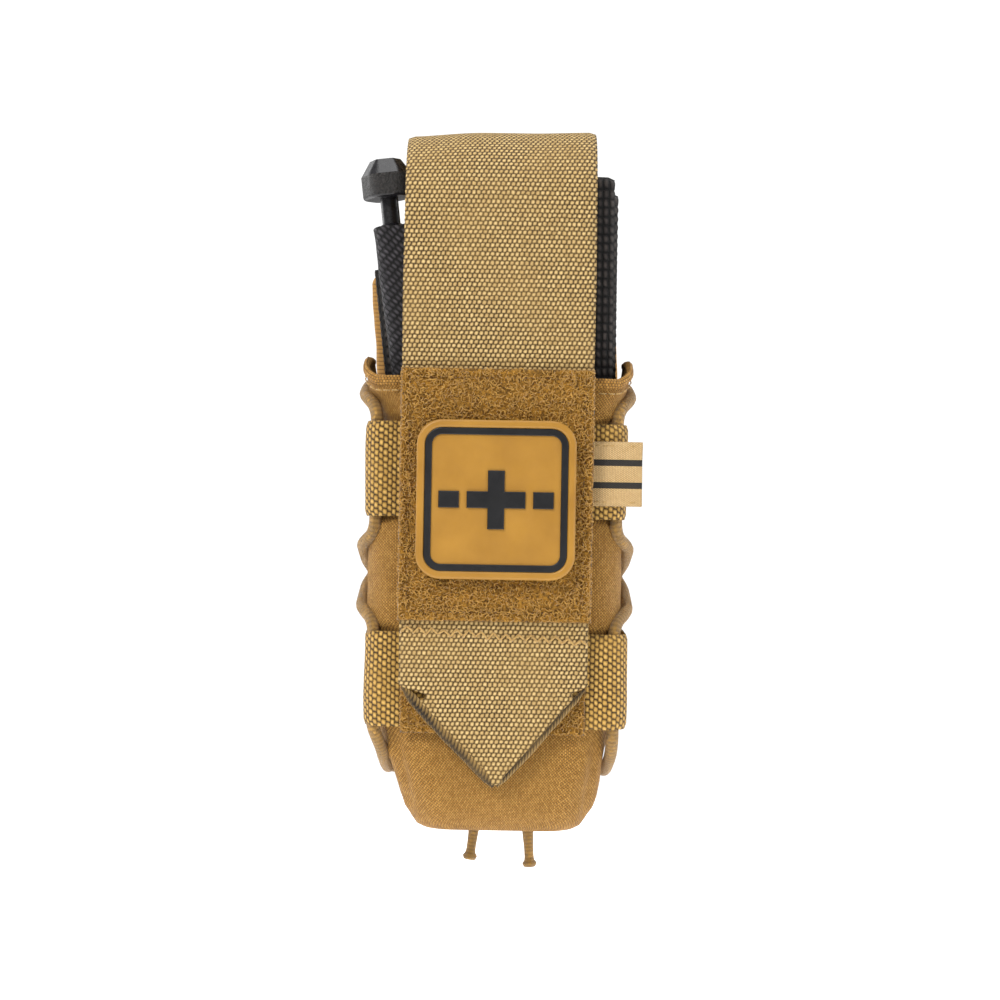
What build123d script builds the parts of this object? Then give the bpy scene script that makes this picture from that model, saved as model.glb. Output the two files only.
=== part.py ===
from build123d import *
from math import cos, degrees, radians, sin, tan
import os

# A windlass tourniquet, folded, in its covered belt pouch. Millimetres.
# The model is laid out in the pouch's own axes: X to the wearer's left as seen from the
# front, -Y towards the front, Z up from the pouch's floor. place() then moves every piece
# so that the origin is the middle of the belt slot behind the pouch.

# ---- driving dimensions ----
BELT_SLOT_Y = 24.2            # middle of the slot behind the back panel
BELT_SLOT_Z = 82.0

SHELL_HALF_WIDTH = 34.0       # front panel, outside
SHELL_FRONT_Y = -20.0
SHELL_WALL = 1.0
SHELL_CORNER_R = 12.0
SIDE_EDGE_Y = 12.5            # where the front panel's side walls end
WAIST = (29.0, 18.0)          # the front panel narrows in two steps: half width, Z
SHOULDER_Z = 36.0
FLOOR_HALF_WIDTH = 22.5
SHOULDER_R = 24.0
FLOOR_CORNER_R = 5.0
MOUTH_FRONT_Z = 122.0         # level across the front
MOUTH_SIDE_Z = 127.0          # after a rise round the front corners
MOUTH_BACK_Z = 128.0
MOUTH_RISE_FROM_Y = -17.5
MOUTH_RISE_TO_Y = -6.5
ABOVE_MOUTH = 10.0            # extra height that the mouth's edge is cut from
HEM_THICKNESS = 0.6
HEM_HEIGHT = 3.5
HEM_INNER_X = 26.0
GUSSET_Z = 9.0                # the floor reaches the back panel below this height

BACK_Y = 18.8                 # front face of the back panel
BACK_THICKNESS = 1.8
BACK_HALF_WIDTH = 33.6
BACK_TOP_Z = 151.5
BACK_TOP_R = 2.4
BACK_LOW_R = 5.0
BINDING_OVERHANG = 0.9
BINDING_COVER = 3.6
BINDING_LAYER = 0.6
BINDING_FROM_Z = 20.0

WEBBING = 1.4                 # one-inch webbing
WEBBING_WIDTH = 25.4
STRAP_HALF_WIDTH = 35.6       # side straps, outside
STRAP_CORNER_R = 4.4
STRAP_END_Y = 9.0
UPPER_STRAP_Z = 84.2
LOWER_STRAP_Z = 28.2

LOOP_PILE = 1.2
HOOK_PILE = 0.9
PANEL_HALF_WIDTH = 24.8
POUCH_LOOP_BOTTOM_Z = 26.6
POUCH_LOOP_TOP_Z = 118.0
FRONT_STIFFENER = (20.6, 27.0, 114.0)     # half width, bottom Z, top Z
BACK_STIFFENER = (22.0, 10.0, 146.0)

LABEL_X = (25.1, 38.2)
LABEL_Z = (87.8, 105.0)
LABEL_THICKNESS = 0.6

CORD_R = 1.7
CORD_HOLE_Y = 11.0            # where the tails leave through the floor
CORD_HOLE_X = (-4.6, 10.4)
CORD_TAIL_Z = (-12.0, -13.8)
CORD_HOLE_R = 2.3
CORD_FLARE_R = 2.3
CORD_FLARE_LENGTH = 1.4
DRAIN_R = 3.0
GROMMET_R = 6.2
GROMMET_FLANGE = 0.7
GROMMET_SLEEVE = 0.6

FLAP_WIDTH = 50.8             # two-inch webbing
FLAP_THICKNESS = 1.6
FLAP_TOP_Z = 188.7            # centreline of the arch
FLAP_FRONT_Y = -24.6          # centreline of the front run
FLAP_BACK_Y = BACK_Y + BACK_THICKNESS + FLAP_THICKNESS / 2
FRONT_BEND_R = 21.0
BACK_BEND_R = 17.0
BACK_HINGE_DEG = 40.0         # where on the back bend the flap lifts
FRONT_HINGE_DEG = 150.0       # where on the front bend the flap unfolds
HINGE_RELIEF = 1.6
FLAP_SEWN_Z = 137.0
TAB_SHOULDER_Z = 39.0
TAB_TIP_Z = 13.7
FLAP_LOOP_BOTTOM_Z = 56.7
FLAP_LOOP_TOP_Z = 123.4

PATCH_SIZE = 41.8
PATCH_CORNER_R = 6.6
PATCH_Z = 89.0
PATCH_GAP = 0.3
PATCH_BASE = 2.4
PATCH_RIM_WIDTH = 2.1
PATCH_RING_WIDTH = 1.85
PATCH_RIM = 0.8               # how far each moulded part stands up from the base
PATCH_RING = 0.5
PATCH_SYMBOL = 0.6
SYMBOL_ARM = 4.4
PLUS_SIZE = 15.4
DASH_LENGTH = 5.4
DASH_X = 12.4

REAR_STRAP_X = 19.05          # half of the 38.1 mm column spacing of load-bearing webbing
REAR_STRAP_WIDTH = 21.6
REAR_STRAP = 1.6
REAR_STRAP_OUT_Y = 27.2       # centreline of the standing-off run
SNAP_Z = 20.0
SNAP_R = 5.2
ROW_Z = (55.9, 94.0)
ROW_HALF_WIDTH = 29.6

BAND_WIDTH = 38.0             # tourniquet band
BAND_THICKNESS = 3.3
BAND_PITCH = 4.2
BUNDLE_BOTTOM_Z = 40.0
FRONT_FOLDS = (-6.8, -11.4, 177.0)     # left edge X, first layer Y, top Z
REAR_FOLDS = (-5.0, 1.6, 174.6)
ROD_TILT_DEG = 6.8
ROD_TOP = (-30.6, -8.0, 170.5)         # under the upper knob
ROD_LENGTH = 125.0
ROD_R = 3.75
NECK_R = 2.45
NECK_LENGTH = 7.0
KNOB_R = 7.6
KNOB_BEVEL = (4.2, 2.8)       # along the rod, across it
WRAP_SECTION = (10.6, 10.4)
WRAP_HOLE = (8.2, 7.9)
KNOB_HEIGHT = 10.5
WRAP_LENGTH = 63.5            # webbing sleeve round the rod
WRAP_BOTTOM = -70.0           # below the upper knob, along the rod
CLIP_MIDDLE = -100.0
PLATE_FROM, PLATE_TO = -118.0, -18.0
BUCKLE_AT = (4.0, 14.0, 112.0)
BUCKLE_SIZE = (46.0, 30.0, 2.8)
BUCKLE_SLOT = (39.0, 6.0)
BUCKLE_SLOT_Z = 6.6
TIP_Y = 16.3
TIP_BOTTOM_Z = 60.0


# ---- helpers ----
def block(x0, x1, y0, y1, z0, z1):
    box = Box(x1 - x0, y1 - y0, z1 - z0)
    return Pos((x0 + x1) / 2, (y0 + y1) / 2, (z0 + z1) / 2) * box


def from_front(face, y_front, y_back):
    """A face drawn in X and Z, as a plate between two depths."""
    plane = Plane.XZ.offset(-y_back)
    return extrude(plane * face, amount=y_back - y_front)


def from_side(face, width, x_middle=0.0):
    """A face drawn in Y and Z, as a prism of a width along X."""
    return Pos(x_middle, 0, 0) * extrude(Plane.YZ * face, amount=width / 2, both=True)


def along_x(y, z, radius, width):
    return Pos(0, y, z) * Rot(0, 90, 0) * Cylinder(radius, width)


def ribbon(line, thickness, width, x_middle=0.0):
    """Webbing of one thickness that follows a line drawn in Y and Z."""
    return from_side(trace(line, thickness), width, x_middle)


def polygon(points):
    return make_face(Polyline(*points, close=True))


def both_sides(corners):
    """A face from the corners of its right-hand side, from the top down."""
    return polygon(corners + [(-x, z) for x, z in reversed(corners)])


def mirrored(shape):
    return mirror(shape, about=Plane.YZ)


# ---- front panel ----
def shell_outline(inset):
    """The front panel seen from the front: straight sides that narrow to the floor."""
    half = SHELL_HALF_WIDTH - inset
    floor = FLOOR_HALF_WIDTH - inset * 0.6
    waist = (WAIST[0] - inset, WAIST[1])
    top = MOUTH_BACK_Z + ABOVE_MOUTH
    face = both_sides([(half, top), (half, SHOULDER_Z), waist, (floor, inset)])
    bends = [v for v in face.vertices() if WAIST[1] - 0.1 < v.Y < SHOULDER_Z + 0.1]
    face = fillet(bends, SHOULDER_R - inset)
    floor_corners = [v for v in face.vertices() if abs(v.Y - inset) < 0.1]
    return fillet(floor_corners, FLOOR_CORNER_R - inset)


def shell_block(inset, back_y):
    """The space inside the front panel's outline, with its front edges rounded."""
    front = SHELL_FRONT_Y + inset
    solid = from_front(shell_outline(inset), front, back_y)
    face = solid.faces().sort_by(Axis.Y)[0]
    top = MOUTH_BACK_Z + ABOVE_MOUTH
    edges = [e for e in face.edges() if e.center().Z < top - 0.1]
    return fillet(edges, SHELL_CORNER_R - inset)


def below_mouth(drop=0.0):
    """Everything under the mouth's edge, which is low in front and rises round the corners."""
    side = polygon([
        (-60, -20),
        (-60, MOUTH_FRONT_Z - drop),
        (MOUTH_RISE_FROM_Y, MOUTH_FRONT_Z - drop),
        (MOUTH_RISE_TO_Y, MOUTH_SIDE_Z - drop),
        (SIDE_EDGE_Y, MOUTH_BACK_Z - drop),
        (60, MOUTH_BACK_Z - drop),
        (60, -20),
    ])
    return from_side(side, 120)


def front_panel():
    shell = shell_block(0, BACK_Y) - shell_block(SHELL_WALL, BACK_Y + 5)
    shell = shell & below_mouth()
    shell -= block(-50, 50, SIDE_EDGE_Y, BACK_Y + 5, GUSSET_Z, 200)
    shell -= Cylinder(DRAIN_R + GROMMET_SLEEVE, 10)
    for x in CORD_HOLE_X:
        shell -= Pos(x, CORD_HOLE_Y, 0) * Cylinder(CORD_HOLE_R, 10)
    return shell


def front_stiffener():
    y = SHELL_FRONT_Y + SHELL_WALL
    half, bottom, top = FRONT_STIFFENER
    return block(-half, half, y, y + 0.7, bottom, top)


def mouth_hem(side):
    hem = shell_block(-HEM_THICKNESS, SIDE_EDGE_Y) - shell_block(0, SIDE_EDGE_Y)
    hem = (hem & below_mouth()) - below_mouth(HEM_HEIGHT)
    x0, x1 = sorted((side * HEM_INNER_X, side * 60))
    return hem & block(x0, x1, -60, 60, UPPER_STRAP_Z + WEBBING_WIDTH, 200)


def drain_grommet():
    ring = Cylinder(DRAIN_R + GROMMET_SLEEVE, SHELL_WALL)
    flange_z = (SHELL_WALL + GROMMET_FLANGE) / 2
    for z in (-flange_z, flange_z):
        ring += Pos(0, 0, z) * Cylinder(GROMMET_R, GROMMET_FLANGE)
    ring -= Cylinder(DRAIN_R, 10)
    return Pos(0, 0, SHELL_WALL / 2) * ring


# ---- back panel ----
def back_outline(grow):
    half = BACK_HALF_WIDTH + grow
    floor = FLOOR_HALF_WIDTH + 0.6 + grow * 0.6
    waist = (WAIST[0] + 0.4 + grow, WAIST[1])
    face = both_sides([(half, BACK_TOP_Z + grow), (half, SHOULDER_Z), waist, (floor, -grow)])
    top = [v for v in face.vertices() if v.Y > SHOULDER_Z + 1]
    face = fillet(top, max(BACK_TOP_R + grow, 0.5))
    low = [v for v in face.vertices() if v.Y < SHOULDER_Z + 1]
    return fillet(low, BACK_LOW_R + grow)


def back_panel():
    return from_front(back_outline(0), BACK_Y, BACK_Y + BACK_THICKNESS)


def back_stiffener():
    half, bottom, top = BACK_STIFFENER
    return block(-half, half, BACK_Y - 0.8, BACK_Y, bottom, top)


def back_binding():
    """Tape folded over the back panel's edge all the way round, above the floor."""
    back = BACK_Y + BACK_THICKNESS
    outer = from_front(back_outline(BINDING_OVERHANG), BACK_Y - BINDING_LAYER, back + BINDING_LAYER)
    inner = from_front(back_outline(-BINDING_COVER), BACK_Y - 5, back + 5)
    tape = outer - inner - back_panel()
    tape -= block(-60, 60, 0, 60, -20, BINDING_FROM_Z)
    return tape - flap_seat()


def flap_seat():
    """Room for the flap webbing where it is sewn to the back panel."""
    half = FLAP_WIDTH / 2 + 0.05
    return block(-half, half, BACK_Y + BACK_THICKNESS, 60, FLAP_SEWN_Z - 5, 200)


# ---- side straps, hook and loop, label ----
def strap_block(inset, z0):
    half = STRAP_HALF_WIDTH - inset
    front = SHELL_FRONT_Y - WEBBING + inset
    solid = block(-half, half, front, STRAP_END_Y, z0, z0 + WEBBING_WIDTH)
    corners = solid.edges().filter_by(Axis.Z).sort_by(Axis.Y)[:2]
    return fillet(corners, STRAP_CORNER_R - inset)


def side_strap(z0):
    """One-inch webbing across the front, standing off at the sides as cord loops."""
    strap = strap_block(0, z0) - strap_block(WEBBING, z0)
    end = block(SHELL_HALF_WIDTH, STRAP_HALF_WIDTH, STRAP_END_Y - 2.5, STRAP_END_Y, z0, z0 + WEBBING_WIDTH)
    return strap + end + mirrored(end)


def front_loop_panel():
    back = SHELL_FRONT_Y - WEBBING
    return block(-PANEL_HALF_WIDTH, PANEL_HALF_WIDTH, back - LOOP_PILE, back,
                 POUCH_LOOP_BOTTOM_Z, POUCH_LOOP_TOP_Z)


def woven_label():
    back = SHELL_FRONT_Y - WEBBING
    return block(LABEL_X[0], LABEL_X[1], back - LABEL_THICKNESS, back, LABEL_Z[0], LABEL_Z[1])


# ---- shock cord ----
def cord_route(hole_x, tail_end):
    """The right-hand lacing: through both strap loops, into the pouch and out of its floor."""
    loop_x, loop_y = 32.2, -17.4
    return [
        (32.4, BACK_Y - BINDING_LAYER, 121.4),
        (32.4, 16.0, 121.4),
        (36.2, 12.4, 120.8),
        (36.1, 1.0, 119.2),
        (36.0, -11.0, 116.8),
        (loop_x, loop_y, 113.0),
        (loop_x, loop_y, 80.0),
        (36.0, -11.0, 76.6),
        (36.1, 1.0, 73.8),
        (36.1, 12.6, 71.3),
        (34.0, 15.6, 67.9),
        (36.1, 12.6, 64.5),
        (36.1, 1.0, 62.0),
        (36.0, -11.0, 59.4),
        (loop_x, loop_y, 56.0),
        (loop_x, loop_y, 27.0),
        (31.4, -13.5, 20.4),
        (30.8, -2.0, 15.6),
        (30.9, 9.0, 13.6),
        (30.6, 15.4, 13.2),
        (24.0, 15.3, 12.0),
        (hole_x + 5.0, 12.6, 4.6),
        (hole_x, CORD_HOLE_Y, 3.2),
        (hole_x, CORD_HOLE_Y, -3.0),
        tail_end,
    ]


def bend_radii(points):
    """Arcs as large as the two runs at each corner allow."""
    radii = []
    for a, b, c in zip(points, points[1:], points[2:]):
        first, second = Vector(b) - Vector(a), Vector(c) - Vector(b)
        half_turn = radians(first.get_angle(second)) / 2
        radii.append(0.45 * min(first.length, second.length) / tan(half_turn))
    return radii


def laced_cord(points, name):
    radii = bend_radii(points)
    path = FilletPolyline(*points, radius=radii)
    start = Plane(origin=path @ 0, z_dir=path % 0)
    tube = sweep(start * Circle(CORD_R), path=path)
    print(f"{name}: length {path.length:.1f}, smallest bend {min(radii):.1f}")
    return tube


def cord_end(points):
    """The melted, flared end of a cord tail."""
    tip, before = Vector(points[-1]), Vector(points[-2])
    plane = Plane(origin=tip, z_dir=tip - before)
    return plane * (Pos(0, 0, CORD_FLARE_LENGTH / 2) * Cone(CORD_R, CORD_FLARE_R, CORD_FLARE_LENGTH))


# ---- flap ----
def bend_point(middle, radius, angle):
    return (middle[0] + radius * cos(radians(angle)), middle[1] + radius * sin(radians(angle)))


BACK_BEND = (FLAP_BACK_Y - BACK_BEND_R, FLAP_TOP_Z - BACK_BEND_R)
FRONT_BEND = (FLAP_FRONT_Y + FRONT_BEND_R, FLAP_TOP_Z - FRONT_BEND_R)
LIFT_HINGE = bend_point(BACK_BEND, BACK_BEND_R, BACK_HINGE_DEG)
UNFOLD_HINGE = bend_point(FRONT_BEND, FRONT_BEND_R, FRONT_HINGE_DEG)


def flap_root_strap():
    relief = degrees(HINGE_RELIEF / BACK_BEND_R)
    line = Line((FLAP_BACK_Y, FLAP_SEWN_Z), (FLAP_BACK_Y, BACK_BEND[1]))
    line += CenterArc(BACK_BEND, BACK_BEND_R, 0, BACK_HINGE_DEG - relief)
    return ribbon(line, FLAP_THICKNESS, FLAP_WIDTH)


def flap_top_strap():
    relief = degrees(HINGE_RELIEF / FRONT_BEND_R)
    line = CenterArc(BACK_BEND, BACK_BEND_R, BACK_HINGE_DEG, 90 - BACK_HINGE_DEG)
    line += Line((BACK_BEND[0], FLAP_TOP_Z), (FRONT_BEND[0], FLAP_TOP_Z))
    line += CenterArc(FRONT_BEND, FRONT_BEND_R, 90, FRONT_HINGE_DEG - 90 - relief)
    strap = ribbon(line, FLAP_THICKNESS, FLAP_WIDTH)
    return strap + along_x(*LIFT_HINGE, FLAP_THICKNESS / 2, FLAP_WIDTH)


def tab_outline(shoulder_z, tip_z, half):
    """The pull tab's end: webbing folded to a point."""
    return polygon([
        (-half, 220),
        (half, 220),
        (half, shoulder_z),
        (1.5, tip_z),
        (-1.5, tip_z),
        (-half, shoulder_z),
    ])


def flap_front_strap():
    line = CenterArc(FRONT_BEND, FRONT_BEND_R, FRONT_HINGE_DEG, 180 - FRONT_HINGE_DEG)
    line += Line((FLAP_FRONT_Y, FRONT_BEND[1]), (FLAP_FRONT_Y, TAB_TIP_Z))
    strap = ribbon(line, FLAP_THICKNESS, FLAP_WIDTH)
    strap += along_x(*UNFOLD_HINGE, FLAP_THICKNESS / 2, FLAP_WIDTH)
    outline = tab_outline(TAB_SHOULDER_Z, TAB_TIP_Z, FLAP_WIDTH / 2)
    return strap & from_front(outline, -60, 60)


def pull_tab_fold():
    """The webbing's corners, turned in behind the tab."""
    back = FLAP_FRONT_Y + FLAP_THICKNESS / 2
    face = tab_outline(TAB_SHOULDER_Z + 0.6, TAB_TIP_Z + 0.6, FLAP_WIDTH / 2 - 0.6)
    plate = from_front(face, back, back + HOOK_PILE)
    return plate & block(-60, 60, -60, 60, 0, FLAP_LOOP_BOTTOM_Z - 4)


def flap_hook_panel():
    back = FLAP_FRONT_Y + FLAP_THICKNESS / 2
    half = PANEL_HALF_WIDTH - 0.8
    return block(-half, half, back, back + HOOK_PILE, FLAP_LOOP_BOTTOM_Z - 3, FLAP_LOOP_TOP_Z - 8)


def flap_loop_panel():
    back = FLAP_FRONT_Y - FLAP_THICKNESS / 2
    half = PANEL_HALF_WIDTH + 0.4
    return block(-half, half, back - 1.4, back, FLAP_LOOP_BOTTOM_Z, FLAP_LOOP_TOP_Z)


# ---- patch ----
PATCH_BACK_Y = FLAP_FRONT_Y - FLAP_THICKNESS / 2 - 1.4 - PATCH_GAP
PATCH_FACE_Y = PATCH_BACK_Y - HOOK_PILE - PATCH_BASE


def patch_square(inset):
    size = PATCH_SIZE - 2 * inset
    return Pos(0, PATCH_Z) * RectangleRounded(size, size, PATCH_CORNER_R - inset)


def patch_hook_backing():
    return from_front(patch_square(1.5), PATCH_BACK_Y - HOOK_PILE, PATCH_BACK_Y)


def patch_base():
    plate = from_front(patch_square(0), PATCH_FACE_Y, PATCH_FACE_Y + PATCH_BASE)
    return fillet(plate.faces().sort_by(Axis.Y)[-1].edges(), 0.5)


def patch_border():
    ring = from_front(patch_square(0), PATCH_FACE_Y - PATCH_RIM, PATCH_FACE_Y)
    ring -= from_front(patch_square(PATCH_RIM_WIDTH), PATCH_FACE_Y - 5, PATCH_FACE_Y + 5)
    return fillet(ring.faces().sort_by(Axis.Y)[0].edges(), 0.7)


def patch_ring():
    ring = from_front(patch_square(PATCH_RIM_WIDTH), PATCH_FACE_Y - PATCH_RING, PATCH_FACE_Y)
    inner = patch_square(PATCH_RIM_WIDTH + PATCH_RING_WIDTH)
    ring -= from_front(inner, PATCH_FACE_Y - 5, PATCH_FACE_Y + 5)
    return fillet(ring.faces().sort_by(Axis.Y)[0].edges(), 0.25)


def patch_symbol():
    """A plain plus between two dashes."""
    marks = [Rectangle(SYMBOL_ARM, PLUS_SIZE) + Rectangle(PLUS_SIZE, SYMBOL_ARM)]
    marks += [Pos(x, 0) * Rectangle(DASH_LENGTH, SYMBOL_ARM) for x in (-DASH_X, DASH_X)]
    top = PATCH_FACE_Y - PATCH_SYMBOL
    solids = [from_front(Pos(0, PATCH_Z) * mark, top, PATCH_FACE_Y) for mark in marks]
    return [fillet(s.faces().sort_by(Axis.Y)[0].edges(), 0.25) for s in solids]


# ---- back of the pouch: webbing rows, straps and snaps ----
def webbing_row(z0):
    back = BACK_Y + BACK_THICKNESS
    return block(-ROW_HALF_WIDTH, ROW_HALF_WIDTH, back, back + WEBBING, z0, z0 + WEBBING_WIDTH)


def rear_hinge():
    back = BACK_Y + BACK_THICKNESS
    return (back + REAR_STRAP / 2, 126.0)


def rear_strap_anchor(x):
    """The sewn top end of a rear strap, above its hinge."""
    half = REAR_STRAP_WIDTH / 2
    y, z = rear_hinge()
    return block(x - half, x + half, y - REAR_STRAP / 2, y + REAR_STRAP / 2, z + HINGE_RELIEF, z + 9)


def rear_strap(x):
    y, z = rear_hinge()
    line = FilletPolyline(
        (y, z),
        (y, z - 1.5),
        (REAR_STRAP_OUT_Y, z - 9),
        (REAR_STRAP_OUT_Y, SNAP_Z + 16),
        (y + 2.2, SNAP_Z + 8),
        (y + 2.2, SNAP_Z - 9),
        radius=[1.4, 6, 6, 6],
    )
    strap = ribbon(line, REAR_STRAP, REAR_STRAP_WIDTH, x)
    return strap + Pos(x, 0, 0) * along_x(y, z, REAR_STRAP / 2, REAR_STRAP_WIDTH)


def facing_back(radius, y0, y1, x, z):
    return Pos(x, (y0 + y1) / 2, z) * Rot(90, 0, 0) * Cylinder(radius, y1 - y0)


def snap_stud(x):
    back = BACK_Y + BACK_THICKNESS
    return facing_back(SNAP_R, back, back + 0.9, x, SNAP_Z) + facing_back(1.8, back, back + 1.9, x, SNAP_Z)


def snap_cap(x):
    y = rear_hinge()[0] + 2.2 + REAR_STRAP / 2
    cap = facing_back(SNAP_R + 0.8, y, y + 1.5, x, SNAP_Z)
    return fillet(cap.edges().sort_by(Axis.Y)[-1], 1.2)


# ---- tourniquet ----
def folded_band(left_x, first_y, top_z):
    """Band folded up and down three times, its layers facing front and back."""
    half = BAND_THICKNESS / 2
    y = [first_y + i * BAND_PITCH for i in range(3)]
    top, bottom = top_z - half, BUNDLE_BOTTOM_Z + half
    line = FilletPolyline(
        (y[0], bottom + 2),
        (y[0], top),
        (y[1], top),
        (y[1], bottom),
        (y[2], bottom),
        (y[2], top - 12),
        radius=BAND_PITCH / 2 - 0.01,
    )
    return ribbon(line, BAND_THICKNESS, BAND_WIDTH, left_x + BAND_WIDTH / 2)


def along_rod(shape):
    """Moves a piece drawn with the rod on Z, and its top at zero, to the rod's place."""
    return Pos(*ROD_TOP) * Rot(0, -ROD_TILT_DEG, 0) * shape


def knob():
    """A six-sided cap with a bevelled crown, standing on zero."""
    cap = extrude(fillet(RegularPolygon(KNOB_R, 6).vertices(), 3.8), amount=KNOB_HEIGHT)
    crown = cap.faces().sort_by(Axis.Z)[-1]
    cap = chamfer(crown.edges(), KNOB_BEVEL[1], KNOB_BEVEL[0], reference=crown)
    return fillet(cap.faces().sort_by(Axis.Z)[0].edges(), 1.0)


def windlass_rod():
    body = ROD_LENGTH - 2 * NECK_LENGTH
    rod = Pos(0, 0, -ROD_LENGTH / 2) * Cylinder(NECK_R, ROD_LENGTH)
    middle = Pos(0, 0, -ROD_LENGTH / 2) * Cylinder(ROD_R, body)
    rod += chamfer(middle.edges().filter_by(GeomType.CIRCLE), 1.0)
    rod += knob()
    rod += Pos(0, 0, -ROD_LENGTH) * Rot(180, 0, 0) * knob()
    return along_rod(rod)


def windlass_wrap():
    """The webbing sleeve round the windlass."""
    outer = RectangleRounded(*WRAP_SECTION, 4.6)
    inner = RectangleRounded(*WRAP_HOLE, 3.6)
    return along_rod(Pos(0, 0, WRAP_BOTTOM) * extrude(outer - inner, amount=WRAP_LENGTH))


def base_plate():
    plate = block(-6.2, 9, 5.4, 7.0, PLATE_FROM, PLATE_TO)
    return along_rod(fillet(plate.edges().filter_by(Axis.Y), 3.0))


def windlass_clip():
    """A C-shaped clip that holds the rod's lower end to the plate, open to the front."""
    ring = Cylinder(7.2, 14) - Cylinder(4.4, 20) - block(-2.8, 2.8, -10, 0, -20, 20)
    ring = ring & block(-9, 9, -9, 5.4, -20, 20)
    return along_rod(Pos(0, 0, CLIP_MIDDLE) * ring)


def clip_strap():
    return along_rod(block(-6.5, 6.5, -8.8, -7.4, CLIP_MIDDLE - 6.5, CLIP_MIDDLE + 6.5))


def buckle():
    """The band's flat frame with two slots, behind the folded band."""
    x, y, z = BUCKLE_AT
    width, height, thickness = BUCKLE_SIZE
    frame = RectangleRounded(width, height, 4)
    for side in (-1, 1):
        frame -= Pos(0, side * BUCKLE_SLOT_Z) * RectangleRounded(*BUCKLE_SLOT, 2)
    return Pos(x, 0, z) * from_front(frame, y - thickness / 2, y + thickness / 2)


def band_tip():
    """The band's free end, hanging behind the buckle from its upper slot."""
    x, y, z = BUCKLE_AT
    slot_z = z + BUCKLE_SLOT_Z
    line = FilletPolyline((TIP_Y - 4, slot_z), (TIP_Y, slot_z), (TIP_Y, TIP_BOTTOM_Z), radius=2.0)
    return ribbon(line, 1.2, BAND_WIDTH, x)


# ---- assembly ----
def place(shape):
    """From the pouch's own axes to the frame whose origin is the middle of the belt slot."""
    return Pos(0, -BELT_SLOT_Y, -BELT_SLOT_Z) * shape


def pouch_nodes():
    left_x, right_x = -CORD_HOLE_X[0], CORD_HOLE_X[1]
    left = cord_route(left_x, (left_x + 1.2, CORD_HOLE_Y, CORD_TAIL_Z[0]))
    right = cord_route(right_x, (right_x + 0.8, CORD_HOLE_Y, CORD_TAIL_Z[1]))
    return {
        "front_panel": front_panel(),
        "front_stiffener": front_stiffener(),
        "mouth_hem_left": mouth_hem(-1),
        "mouth_hem_right": mouth_hem(1),
        "drain_grommet": drain_grommet(),
        "back_panel": back_panel(),
        "back_stiffener": back_stiffener(),
        "back_binding": back_binding(),
        "upper_side_strap": side_strap(UPPER_STRAP_Z),
        "lower_side_strap": side_strap(LOWER_STRAP_Z),
        "front_loop_panel": front_loop_panel(),
        "woven_label": woven_label(),
        "shock_cord_right": laced_cord(right, "shock_cord_right"),
        "shock_cord_left": mirrored(laced_cord(left, "shock_cord_left")),
        "cord_ends": [cord_end(right), mirrored(cord_end(left))],
        "webbing_row_lower": webbing_row(ROW_Z[0]),
        "webbing_row_upper": webbing_row(ROW_Z[1]),
        "rear_strap_anchors": [rear_strap_anchor(side * REAR_STRAP_X) for side in (-1, 1)],
        "snap_studs": [snap_stud(side * REAR_STRAP_X) for side in (-1, 1)],
        "flap_root_strap": flap_root_strap(),
    }


def moving_nodes():
    return {
        "flap_top_strap": flap_top_strap(),
        "flap_front_strap": flap_front_strap(),
        "pull_tab_fold": pull_tab_fold(),
        "flap_hook_panel": flap_hook_panel(),
        "flap_loop_panel": flap_loop_panel(),
        "patch_hook_backing": patch_hook_backing(),
        "patch_base": patch_base(),
        "patch_border": patch_border(),
        "patch_ring": patch_ring(),
        "patch_symbol": patch_symbol(),
        "rear_strap_left": rear_strap(-REAR_STRAP_X),
        "rear_strap_right": rear_strap(REAR_STRAP_X),
        "snap_cap_left": snap_cap(-REAR_STRAP_X),
        "snap_cap_right": snap_cap(REAR_STRAP_X),
    }


def tourniquet_nodes():
    return {
        "windlass_rod": windlass_rod(),
        "windlass_wrap": windlass_wrap(),
        "base_plate": base_plate(),
        "windlass_clip": windlass_clip(),
        "clip_strap": clip_strap(),
        "buckle": buckle(),
        "band_tip": band_tip(),
        "band_front_folds": folded_band(*FRONT_FOLDS),
        "band_rear_folds": folded_band(*REAR_FOLDS),
    }


def main():
    os.makedirs("parts", exist_ok=True)
    nodes = pouch_nodes() | moving_nodes() | tourniquet_nodes()
    for name, shape in nodes.items():
        solids = shape if isinstance(shape, list) else shape.solids()
        export_step(Compound(children=[place(s.solid()) for s in solids]), f"parts/{name}.step")
    print("lift hinge", LIFT_HINGE, "unfold hinge", UNFOLD_HINGE, "rear hinge", rear_hinge())


main()
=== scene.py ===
import random
from math import ceil, cos, hypot, pi, radians, sin, sqrt

import bmesh
import bpy
from mathutils import Matrix, Vector, noise


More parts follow.
